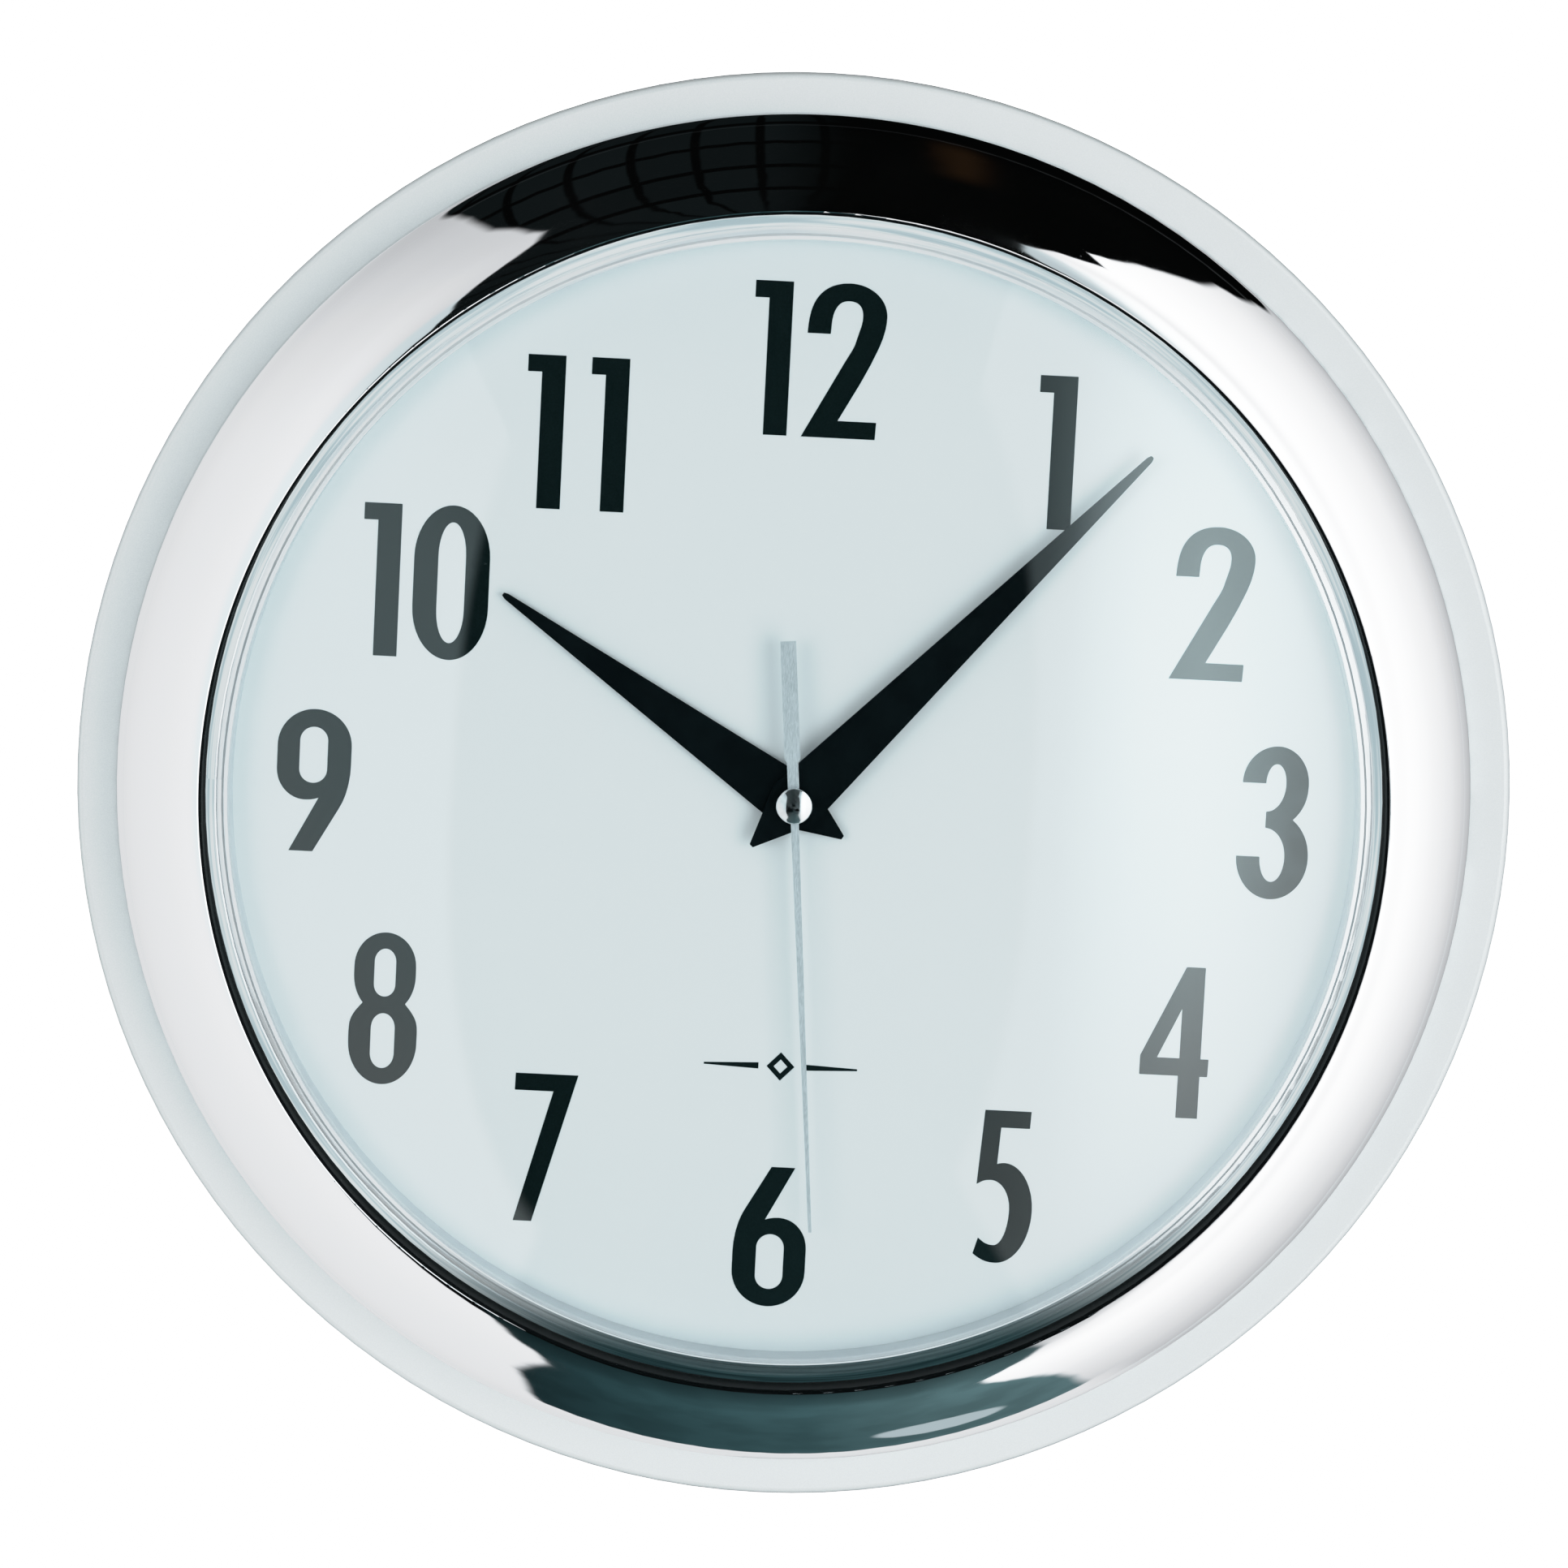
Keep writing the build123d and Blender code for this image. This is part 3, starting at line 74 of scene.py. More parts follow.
# ------------------------------------------------------------ node helpers
class Net:
    """Writer for the node tree of a material or world.

    A value may be a number, a colour or another node's output.
    """

    def __init__(self, owner):
        self.owner = owner
        owner.use_nodes = True
        self.tree = owner.node_tree
        self.tree.nodes.clear()

    def node(self, kind, inputs=None, **props):
        node = self.tree.nodes.new("ShaderNode" + kind)
        for key, value in props.items():
            setattr(node, key, value)
        for key, value in (inputs or {}).items():
            self.put(node.inputs[key], value)
        return node

    def out(self, kind, inputs=None, **props):
        """Makes a node and gives its first output."""
        return self.node(kind, inputs, **props).outputs[0]

    def put(self, socket, value):
        if isinstance(value, bpy.types.NodeSocket):
            self.tree.links.new(value, socket)
        else:
            socket.default_value = value

    def math(self, op, *values, clamp=False):
        return self.out("Math", dict(enumerate(values)), operation=op, use_clamp=clamp)

    def mul(self, product, *others):
        for other in others:
            product = self.math("MULTIPLY", product, other)
        return product

    def plus(self, first, second):
        return self.math("ADD", first, second)

    def minus(self, first, second):
        return self.math("SUBTRACT", first, second)

    def ratio(self, first, second):
        return self.math("DIVIDE", first, second)

    def squared(self, value):
        return self.math("POWER", value, 2.0)

    def bell(self, offset, width):
        """1 where the offset is zero, dying away on both sides."""
        return self.math("EXPONENT", self.mul(self.squared(self.ratio(offset, width)), -1.0))

    def step(self, value, over, to=(0.0, 1.0)):
        """Smooth change between the two `to` levels while the value crosses `over`."""
        return self.out("MapRange", {
            "Value": value, "From Min": over[0], "From Max": over[1],
            "To Min": to[0], "To Max": to[1]}, interpolation_type="SMOOTHSTEP")

    def fall(self, value, over):
        return self.step(value, over, to=(1.0, 0.0))

    def band(self, value, rise, fall):
        return self.mul(self.step(value, rise), self.fall(value, fall))

    def curve(self, value, points, x_max, y_max):
        """Straight segments through (x, y) points, the last height held up to x_max."""
        points = [(x / x_max, y / y_max) for x, y in points]
        if points[-1][0] < 1:
            points.append((1.0, points[-1][1]))
        node = self.node("FloatCurve")
        draw_curve(node.mapping.curves[0], points)
        node.mapping.use_clip = False
        node.mapping.update()
        self.put(node.inputs["Value"], self.ratio(value, x_max))
        return self.mul(node.outputs[0], y_max)

    def mix(self, share, first, second, blend="MIX"):
        return self.node("Mix", {"Factor": share, 6: first, 7: second},
                         data_type="RGBA", blend_type=blend).outputs[2]

    def tint(self, value, low, high, over=(0.3, 0.7)):
        """Colour that goes from low to high while the value crosses `over`."""
        return self.mix(self.step(value, over), low, high)

    def mix_shader(self, share, first, second):
        return self.out("MixShader", {0: share, 1: first, 2: second})

    def ramp(self, value, stops):
        node = self.node("ValToRGB")
        marks = node.color_ramp.elements
        marks[0].position, marks[0].color = stops[0]
        marks[1].position, marks[1].color = stops[-1]
        for position, colour in stops[1:-1]:
            marks.new(position).color = colour
        self.put(node.inputs["Fac"], value)
        return node.outputs[0]

    def coords(self):
        return self.node("TexCoord").outputs["Object"]

    def separate(self, vector):
        return tuple(self.node("SeparateXYZ", {0: vector}).outputs)

    def vector(self, op, *vectors):
        return self.out("VectorMath", dict(enumerate(vectors)), operation=op)

    def scaled(self, vector, factor):
        return self.out("VectorMath", {0: vector, "Scale": factor}, operation="SCALE")

    def mapped(self, vector, **settings):
        return self.out("Mapping", {"Vector": vector, **settings})

    def noise(self, vector, scale, detail=3.0, rough=0.55):
        return self.out("TexNoise", {
            "Scale": scale, "Detail": detail, "Roughness": rough, "Vector": vector})

    def bump(self, height, strength, depth):
        return self.out("Bump", {"Strength": strength, "Distance": depth, "Height": height})

    def principled(self, **values):
        return self.out("BsdfPrincipled",
                        {key.replace("_", " "): value for key, value in values.items()})

    def close(self, shader, kind="OutputMaterial"):
        """Sends the shader to the output and gives back the material or world."""
        self.node(kind, {"Surface": shader})
        return self.owner


def grey(level):
    return (level, level, level, 1.0)


def rgb(red, green, blue):
    return (red, green, blue, 1.0)


def new_net(name):
    return Net(bpy.data.materials.new(name + "_finish"))


def radius_mm(net):
    """Distance from the hand axis in millimetres, then x, y and z in metres."""
    x, y, z = net.separate(net.coords())
    square = net.plus(net.mul(x, x), net.mul(z, z))
    return net.mul(net.math("SQRT", square), MM), x, y, z


# ------------------------------------------------------------ what the chrome sees
# A direction is given by two angles in degrees: `away`, from -Y, and `turn`, about the
# Y axis from +X, positive above. `drop` is the turn taken downwards.
# The four edge tables hold: away, turn or drop.
UPPER_RIGHT_EDGE = [
    (0, 20), (5, 30), (7, 40), (9, 48), (11, 54), (13, 57), (16, 60), (27, 60), (35, 58), (41, 57),
    (49, 60), (57, 58), (73, 56), (89, 53), (105, 50), (121, 48), (129, 45), (145, 41), (153, 37),
    (161, 33), (166, 40), (171, 49), (176, 54),
]
UPPER_LEFT_EDGE = [
    (0, 176), (7, 170), (9, 161), (11, 153), (13, 146), (15, 143), (17, 140), (19, 137),
    (22, 134), (27, 129), (31, 126), (35, 124), (39, 122), (49, 120), (57, 121), (73, 122),
    (89, 124), (105, 125), (121, 126), (137, 128), (145, 130), (153, 132), (161, 134), (172, 134),
]
LOWER_LEFT_EDGE = [
    (0, 98), (11, 102), (13, 104), (17, 106), (23, 108), (31, 108), (41, 107), (49, 107),
    (57, 108), (65, 109), (81, 110), (97, 109), (113, 108), (131, 106),
]
LOWER_RIGHT_EDGE = [
    (0, 82), (11, 78), (15, 75), (19, 72), (25, 69), (33, 70), (41, 72), (49, 71), (57, 69),
    (65, 67), (73, 66), (81, 65), (97, 64), (131, 64),
]
# away, brightness
LEFT_LEVEL = [
    (0, 1.0), (25, 1.08), (61, 1.0), (101, 0.95), (121, 0.91), (137, 0.86), (160, 0.84),
    (178, 0.72),
]
RIGHT_FAR_LEVEL = [
    (0, 2.8), (26, 2.8), (41, 2.6), (61, 1.9), (81, 1.40), (101, 1.12), (121, 0.86), (131, 0.76),
    (138, 0.69), (151, 0.62), (161, 0.54), (171, 0.42), (179, 0.34),
]
TABLE_LEVEL = [
    (0, 0.9), (130, 0.9), (145, 0.86), (156, 0.70), (166, 0.48), (174, 0.36), (180, 0.34),
]
LOWER_GAP_LEVEL = [
    (0, 0.05), (12, 0.10), (15, 0.22), (18, 0.34), (22, 0.50), (30, 0.78), (38, 1.10), (50, 1.20),
    (62, 1.12), (74, 0.98), (98, 0.92), (131, 0.92),
]
# x of the direction, brightness
RIGHT_NEAR_LEVEL = [
    (0.0, 0.45), (0.135, 0.55), (0.150, 0.75), (0.163, 1.15), (0.178, 2.3), (0.19, 3.2),
    (0.206, 4.1), (0.24, 4.7), (0.262, 4.3), (0.28, 3.6), (0.30, 2.8), (0.35, 2.4), (0.45, 2.2),
    (0.6, 1.8), (0.8, 1.3), (1.0, 1.0),
]
# share of the way across the lower gap from left to right, colour
LOWER_GAP_TONES = [
    (0.0, rgb(0.010, 0.024, 0.027)), (0.14, rgb(0.016, 0.040, 0.045)),
    (0.29, rgb(0.026, 0.062, 0.069)), (0.50, rgb(0.040, 0.088, 0.097)),
    (0.70, rgb(0.075, 0.140, 0.150)), (1.0, rgb(0.110, 0.190, 0.203)),
]


def by_away(net, away, points, y_max):
    return net.curve(away, points, x_max=180.0, y_max=y_max)


def between(net, angle, low, high):
    """Mask between two edges, soft over about a degree."""
    softness = (-0.6, 0.9)
    return net.mul(net.step(net.minus(angle, low), softness),
                   net.step(net.minus(high, angle), softness))


def camera_opening(net, x, y, z):
    """Mask of the rounded dark opening round the camera."""
    powers = []
    for value, offset, half in ((x, 0.020, 0.167), (z, 0.115, 0.30)):
        part = net.math("ABSOLUTE", net.ratio(net.plus(value, offset), half))
        powers.append(net.math("POWER", part, 2.5))
    return net.mul(net.fall(net.plus(*powers), over=(0.94, 1.08)), net.math("LESS_THAN", y, 0.0))


def right_panel_level(net, x, z, away, drop, bow):
    """Brightness on the right: a hot strip near the camera, a fading panel, the table."""
    hot = net.curve(x, RIGHT_NEAR_LEVEL, x_max=1.0, y_max=5.0)
    tall = net.bell(net.plus(z, 0.05), width=0.28)
    near = net.fall(away, over=(22.0, 40.0))
    base = 0.72    # brightness above and below the hot strip
    close_in = net.plus(base, net.mul(net.minus(hot, base), tall))
    far = by_away(net, away, RIGHT_FAR_LEVEL, y_max=3.0)
    far = net.mul(far, net.plus(1.0, net.mul(z, 0.30)))    # brighter towards the top
    level = net.plus(net.mul(close_in, near), net.mul(far, net.minus(1.0, near)))
    table = net.mul(net.step(net.plus(away, bow), over=(130.0, 136.0)),
                    net.step(drop, over=(60.0, 66.0)))
    return net.plus(net.mul(level, net.minus(1.0, table)),
                    net.mul(table, by_away(net, away, TABLE_LEVEL, y_max=1.0)))


def upper_gap_colour(net, room, away, turn):
    """Dark grid on the right, plain dark wall on the left, a faint warm lamp."""
    window = net.out("TexBrick", {
        "Scale": 1.0, "Brick Width": 1.0, "Row Height": 1.0,
        "Mortar Size": 0.10, "Mortar Smooth": 0.5,
        "Color1": rgb(0.0044, 0.0063, 0.0067), "Color2": rgb(0.0058, 0.0084, 0.0090),
        "Mortar": rgb(0.0013, 0.0015, 0.0015), "Vector": room}, offset=0.0)
    wall = net.mix(net.step(turn, over=(86.0, 97.0)), rgb(0.0011, 0.0013, 0.0013), window)
    lamp = net.mul(net.bell(net.minus(turn, 76.0), width=2.4),
                   net.band(away, rise=(74.0, 96.0), fall=(120.0, 146.0)))
    wall = net.mix(net.mul(lamp, 0.8), wall, rgb(0.016, 0.0085, 0.004))
    return net.mix(net.step(away, over=(172.0, 180.0)), wall, rgb(0.020, 0.024, 0.026))


def lower_gap_colour(net, room, away, drop):
    """Mottled dusk, lighter to the right, with one pale oval."""
    left, width = 110.0, 48.0    # drop at the left side, and degrees across
    tone = net.ramp(net.ratio(net.minus(left, drop), width), LOWER_GAP_TONES)
    gain = by_away(net, away, LOWER_GAP_LEVEL, y_max=2.0)
    mottle = net.noise(room, scale=1.6, detail=2.0, rough=0.4)
    mottle = net.step(mottle, over=(0.35, 0.65), to=(0.90, 1.08))
    dusk = net.scaled(tone, net.mul(gain, mottle))
    # oval: centre and half size along each angle
    oval = net.plus(net.squared(net.ratio(net.minus(away, 103.0), 10.5)),
                    net.squared(net.ratio(net.minus(drop, 75.5), 5.2)))
    return net.mix(net.fall(oval, over=(0.8, 1.2)), dusk, rgb(0.44, 0.53, 0.56))


def studio_colour(net, direction):
    """Colour of the surroundings in a direction, and the direction's z.

    Two tall panels stand beside the camera, with a dark gap above and below it and
    the dark opening it looks through.
    """
    x, y, z = net.separate(direction)
    away = net.math("DEGREES", net.math("ARCCOSINE", net.mul(y, -1.0)))
    turn = net.math("DEGREES", net.math("ARCTAN2", z, x))
    above = net.math("GREATER_THAN", turn, 0.0)
    below = net.minus(1.0, above)
    drop = net.mul(turn, -1.0)

    upper_right = by_away(net, away, UPPER_RIGHT_EDGE, y_max=180.0)
    upper_left = by_away(net, away, UPPER_LEFT_EDGE, y_max=180.0)
    upper_gap = net.mul(between(net, turn, upper_right, upper_left), above)

    # the lower gap ends in a curve where the table begins
    lower_left = by_away(net, away, LOWER_LEFT_EDGE, y_max=180.0)
    lower_right = by_away(net, away, LOWER_RIGHT_EDGE, y_max=180.0)
    lower_gap = between(net, drop, lower_right, lower_left)
    bow = net.mul(net.squared(net.minus(drop, 86.0)), 0.02)
    lower_gap = net.mul(lower_gap, below, net.fall(net.plus(away, bow), over=(132.0, 134.6)))

    opening = camera_opening(net, x, y, z)

    # panels; the left one is dimmer beside the upper gap
    left_level = by_away(net, away, LEFT_LEVEL, y_max=1.2)
    near_gap = net.step(net.minus(turn, upper_left), over=(0.0, 34.0), to=(0.66, 1.0))
    left_level = net.mul(left_level, net.plus(net.mul(near_gap, above), below))
    right_level = right_panel_level(net, x, z, away, drop, bow)
    is_right = net.math("GREATER_THAN", x, 0.0)
    level = net.plus(net.mul(is_right, right_level),
                     net.mul(net.minus(1.0, is_right), left_level))
    near_tint = net.tint(x, rgb(0.86, 0.99, 1.04), rgb(0.93, 1.05, 1.09), over=(0.17, 0.22))
    panel_tint = net.tint(away, near_tint, rgb(0.985, 1.0, 1.025), over=(15.0, 22.0))
    panels = net.scaled(panel_tint, level)

    # what shows in the gaps, on a grid of 6.4 by 36 degrees
    room = net.out("CombineXYZ", {0: net.ratio(turn, 6.4), 1: net.ratio(away, 36.0)})
    upper_colour = upper_gap_colour(net, room, away, turn)
    lower_colour = lower_gap_colour(net, room, away, drop)

    colour = net.mix(opening, panels, rgb(0.0010, 0.0012, 0.0013))
    colour = net.mix(lower_gap, colour, lower_colour)
    return net.mix(upper_gap, colour, upper_colour), z


# ------------------------------------------------------------ materials
# Noise scales are in cells per metre and bump depths in metres.
def plastic(name, light, dark, rough, grain, depth, mottled=45.0, coat=0.0):
    """Moulded plastic: slow tone drift, fine spark-eroded grain, rubbed patches."""
    net = new_net(name)
    coords = net.coords()
    drift = net.noise(coords, scale=mottled, detail=4.0)
    fine = net.noise(coords, scale=grain, detail=2.0, rough=0.6)
    blend = net.plus(net.mul(drift, 0.7), net.mul(fine, 0.3))
    return net.close(net.principled(
        Base_Color=net.tint(blend, dark, light, over=(0.32, 0.68)),
        Roughness=net.step(net.noise(coords, scale=mottled * 2.4), over=(0.35, 0.7), to=rough),
        Coat_Weight=coat,
        Normal=net.bump(fine, strength=0.35, depth=depth),
    ))


def metal(name, light, dark, rough, grain, stretch=(1.0, 1.0, 1.0), depth=2e-5, metallic=1.0,
          spangle=0.0):
    """Worked metal: directional grain, light tarnish, uneven polish."""
    net = new_net(name)
    coords = net.coords()
    brushed = net.noise(net.mapped(coords, Scale=stretch), scale=grain, rough=0.65)
    cloud = net.noise(coords, scale=60.0, detail=4.0)
    blend = net.plus(net.mul(brushed, 0.55), net.mul(cloud, 0.45))
    colour = net.tint(blend, dark, light, over=(0.35, 0.66))
    if spangle:
        cells = net.node("TexVoronoi", {"Scale": 260.0, "Vector": coords}, feature="F1")
        red = net.out("SeparateColor", {0: cells.outputs["Color"]})
        colour = net.mix(net.mul(red, spangle), colour, grey(0.92))
    return net.close(net.principled(
        Base_Color=colour, Metallic=metallic,
        Roughness=net.step(brushed, over=(0.3, 0.7), to=rough),
        Normal=net.bump(brushed, strength=0.4, depth=depth),
    ))


def mirror_plate(net, coords, haze):
    specks = net.step(net.noise(coords, scale=900.0, detail=1.0), over=(0.74, 0.80))
    wave = net.noise(coords, scale=7.0, detail=1.0)
    rough = net.step(haze, over=(0.35, 0.75), to=(0.018, 0.05))
    return net.principled(
        Base_Color=net.mix(haze, rgb(0.925, 0.935, 0.94), rgb(0.955, 0.96, 0.965)),
        Metallic=1.0, Roughness=net.plus(rough, net.mul(specks, 0.03)),
        Normal=net.bump(wave, strength=0.18, depth=0.0006),
    )


def satin_plate(net, radius, z, haze, fine):
    """Satin band with painted shade: darker at the top, at its inner seam and where its rim turns
    back.
    """
    # painted shade: a soft dark line along the seam with the chrome ring, and a darker outer edge
    # where the rim turns back
    seam = net.band(radius, rise=(141.35, 141.5), fall=(141.6, 141.9))
    rim = net.step(radius, over=(149.1, 149.8), to=(0.0, 0.45))
    tone = net.tint(fine, rgb(0.705, 0.765, 0.775), rgb(0.755, 0.815, 0.825))
    # painted shade: the band's colour is darkened towards its top
    top = net.step(z, over=(0.02, 0.14), to=(0.0, 0.10))
    tone = net.mix(top, tone, rgb(0.30, 0.33, 0.335))
    shade = net.math("MAXIMUM", rim, net.mul(seam, 0.22))
    return net.principled(
        Base_Color=net.mix(shade, tone, rgb(0.26, 0.285, 0.29)),
        Metallic=0.18, Roughness=net.step(haze, over=(0.3, 0.7), to=(0.42, 0.50)),
        Specular_IOR_Level=0.4,
        Normal=net.bump(fine, strength=0.25, depth=3e-5),
    )


def painted_room_reflection(net):
    """Painted reflection: an emission showing the surroundings as the plating would mirror them,
    with nothing nearby in the way.
    """
    geometry = net.node("NewGeometry").outputs
    sight = net.scaled(geometry["Incoming"], -1.0)
    far, _ = studio_colour(net, net.vector("REFLECT", sight, geometry["Normal"]))
    return net.out("Emission", {"Color": net.mix(1.0, far, rgb(0.93, 0.94, 0.945), "MULTIPLY")})


def bezel_chrome():
    """Mirror plate on the convex ring and lip, satin plate on the flat outer band, and a painted
    reflection glowing at the ring's foot.
    """
    net = new_net("chrome_plate")
    radius, _, y, z = radius_mm(net)
    coords = net.coords()
    haze = net.noise(coords, scale=34.0, detail=5.0, rough=0.6)
    fine = net.noise(coords, scale=4200.0, detail=2.0)
    mirror = mirror_plate(net, coords, haze)
    satin = satin_plate(net, radius, z, haze, fine)
    # foot of the ring: a painted reflection of the room glows there, in place of the plating's own
    # reflection of the narrow band beside it
    glow = painted_room_reflection(net)
    front = net.step(net.mul(y, -MM), over=(11.7, 11.9))
    at_foot = net.mul(front, net.step(radius, over=(136.5, 139.5)))
    ring = net.mix_shader(at_foot, mirror, glow)
    # dull shadow line where the plating turns over inside the lip
    turned = net.principled(
        Base_Color=net.mix(fine, rgb(0.0010, 0.0018, 0.0020), rgb(0.0026, 0.0042, 0.0046)),
        Metallic=0.0, Roughness=0.5, Specular_IOR_Level=0.02,
    )
    lip = net.mix_shader(net.step(radius, over=(122.00, 122.14)), turned, ring)
    return net.close(net.mix_shader(net.step(radius, over=(141.30, 141.42)), lip, satin))


def thin_glass(net):
    """A thin even wall: what lies behind shows straight through, both faces reflect."""
    coords = net.coords()
    flow = net.noise(coords, scale=9.0, detail=2.0)
    dust = net.step(net.noise(coords, scale=620.0, detail=2.0), over=(0.735, 0.80))
    through = net.out("BsdfTransparent", {
        "Color": net.mix(flow, rgb(0.985, 0.995, 0.995), rgb(0.975, 0.99, 0.99))})
    mirror = net.out("BsdfGlossy", {
        "Color": rgb(0.91, 1.0, 1.0), "Roughness": net.mul(dust, 0.06)})
    one_face = net.out("Fresnel", {"IOR": 1.49})
    both_faces = net.ratio(net.mul(one_face, 2.0), net.plus(one_face, 1.0))
    outside = net.minus(1.0, net.node("NewGeometry").outputs["Backfacing"])
    return net.mix_shader(net.mul(both_faces, outside), through, mirror)


def lens_face(net, glass):
    """The glass with its rim outside the dome: a clear flange that catches the side light, with
    painted light and shade on the rim.
    """
    radius, x, y, z = radius_mm(net)
    out_x = net.ratio(net.mul(x, MM), radius)
    out_z = net.ratio(net.mul(z, MM), radius)
    outward = net.out("CombineXYZ", {0: out_x, 2: out_z})
    geometry = net.node("NewGeometry").outputs
    facing = net.node("VectorMath", {0: geometry["Incoming"], 1: outward},
                      operation="DOT_PRODUCT").outputs["Value"]
    # lean: how far the outward direction points away from the viewer
    lean = net.mul(facing, -1.0)
    # painted reflection: where the rim leans away from the viewer its colours turn dark, standing
    # in for the dark surroundings it would mirror
    painted_dark_lean = net.step(lean, over=(0.185, 0.222))
    no_lean = net.fall(lean, over=(0.0, 0.05))

    # uneven moulding, streaked along the rim
    angle = net.math("ARCTAN2", out_z, out_x)
    around = net.out("CombineXYZ", {0: net.mul(radius, 1.15), 1: net.mul(angle, 2.2)})
    streak = net.noise(around, scale=1.0, detail=4.0, rough=0.6)
    tip = net.plus(0.11, net.mul(streak, 0.26))
    tipped = net.vector("ADD", geometry["Normal"], net.scaled(outward, tip))
    # painted shade: the sheen's colour turns dark where the rim leans away
    sheen = net.out("BsdfGlossy", {
        "Color": net.mix(painted_dark_lean, rgb(0.80, 0.86, 0.885), rgb(0.10, 0.15, 0.16)),
        "Roughness": 0.10, "Normal": net.vector("NORMALIZE", tipped)})

    soft, sharp = (0.35, 0.65), (0.38, 0.62)    # streak contrast
    pale = net.tint(streak, rgb(0.66, 0.75, 0.79), rgb(0.90, 0.945, 0.955), soft)
    # dusk: painted dark reflection, the milky rim's colour where it leans away
    dusk = net.tint(streak, rgb(0.030, 0.055, 0.060), rgb(0.058, 0.100, 0.108), soft)
    # painted highlight: a thin pale line at the rim's inner edge, laid over the dark colour
    painted_edge_highlight = net.band(radius, rise=(116.40, 116.46), fall=(116.72, 116.82))
    dusk = net.mix(painted_edge_highlight, dusk, rgb(0.75, 0.86, 0.90))
    milk = net.out("BsdfDiffuse", {"Color": net.mix(painted_dark_lean, pale, dusk)})

    front = net.step(net.mul(y, -MM), over=(31.9, 32.2))
    outside = net.minus(1.0, geometry["Backfacing"])
    rim = net.mul(net.step(radius, over=(116.30, 116.50)), front, outside)
    milkiness = net.plus(0.62, net.mul(painted_dark_lean, 0.33))
    body = net.mix_shader(net.mul(rim, milkiness), glass, milk)
    gloss = net.mul(net.minus(0.38, net.mul(painted_dark_lean, 0.26)), net.minus(1.0, no_lean))
    face = net.mix_shader(net.mul(rim, gloss), body, sheen)

    # painted light: an emission glows on the rim's outer part and edge, standing in for light
    # carried inside the moulding; where it is dark behind it glows dark, a painted dark reflection
    bright = net.tint(streak, rgb(0.42, 0.54, 0.58), rgb(0.74, 0.82, 0.84), sharp)
    dim = net.tint(streak, rgb(0.008, 0.022, 0.025), rgb(0.026, 0.058, 0.064), sharp)
    painted_edge_glow = net.out("Emission", {"Color": net.mix(painted_dark_lean, bright, dim)})
    edge = net.mul(net.step(radius, over=(120.75, 120.90)),
                   net.fall(net.mul(y, -MM), over=(27.8, 28.0)))
    painted_glow_share = net.math("MAXIMUM",
                     net.mul(rim, net.step(radius, over=(118.8, 119.3), to=(0.0, 0.93))),
                     net.mul(edge, outside, 0.9))
    return net.mix_shader(painted_glow_share, face, painted_edge_glow)


def lens_clear():
    """Clear moulded lens. Rays that light the dial pass straight through."""
    net = new_net("clear_lens")
    face = lens_face(net, thin_glass(net))
    clear = net.out("BsdfTransparent", {"Color": rgb(0.965, 0.985, 0.985)})
    ray = net.node("LightPath").outputs
    light_ray = net.math("MAXIMUM", ray["Is Shadow Ray"], ray["Is Diffuse Ray"])
    return net.close(net.mix_shader(light_ray, face, clear))


def dial_paper():
    """White paper with faint fibres and flecks."""
    net = new_net("dial_white")
    coords = net.coords()
    fibre = net.noise(net.mapped(coords, Scale=(1.0, 1.0, 0.45)),
                      scale=1500.0, detail=4.0, rough=0.7)
    drift = net.noise(coords, scale=12.0)
    fleck = net.step(net.noise(coords, scale=520.0, detail=1.0, rough=0.5), over=(0.77, 0.83))
    tone = net.tint(drift, rgb(0.785, 0.862, 0.892), rgb(0.798, 0.874, 0.903))
    fibre_share = net.mul(net.step(fibre, over=(0.35, 0.7)), 0.10)
    tone = net.mix(fibre_share, tone, rgb(0.745, 0.825, 0.855))
    tone = net.mix(net.mul(fleck, 0.18), tone, rgb(0.68, 0.75, 0.78))
    return net.close(net.principled(
        Base_Color=tone, Roughness=net.step(fibre, over=(0.3, 0.7), to=(0.50, 0.62)),
        Specular_IOR_Level=0.35, Normal=net.bump(fibre, strength=0.15, depth=2e-5),
    ))


def printed_ink():
    net = new_net("dial_ink")
    coords = net.coords()
    grain = net.noise(coords, scale=2200.0, rough=0.65)
    cloud = net.noise(coords, scale=90.0)
    return net.close(net.principled(
        Base_Color=net.tint(grain, rgb(0.0020, 0.0068, 0.0072), rgb(0.0036, 0.0098, 0.0104),
                            over=(0.35, 0.68)),
        Roughness=net.step(cloud, over=(0.3, 0.7), to=(0.42, 0.52)),
        Specular_IOR_Level=0.03, Normal=net.bump(grain, strength=0.2, depth=1e-5),
    ))


def hand_lacquer():
    """Black lacquer with slight orange peel and a few pale specks."""
    net = new_net("hand_black")
    coords = net.coords()
    peel = net.noise(coords, scale=1100.0, rough=0.5)
    cloud = net.noise(coords, scale=140.0)
    speck = net.step(net.noise(coords, scale=1900.0, detail=1.0), over=(0.77, 0.83))
    tone = net.tint(cloud, rgb(0.0012, 0.0030, 0.0038), rgb(0.0022, 0.0050, 0.0060))
    return net.close(net.principled(
        Base_Color=net.mix(net.mul(speck, 0.25), tone, rgb(0.04, 0.045, 0.05)),
        Roughness=net.step(peel, over=(0.3, 0.7), to=(0.40, 0.50)),
        Specular_IOR_Level=0.025, Normal=net.bump(peel, strength=0.3, depth=2e-5),
    ))


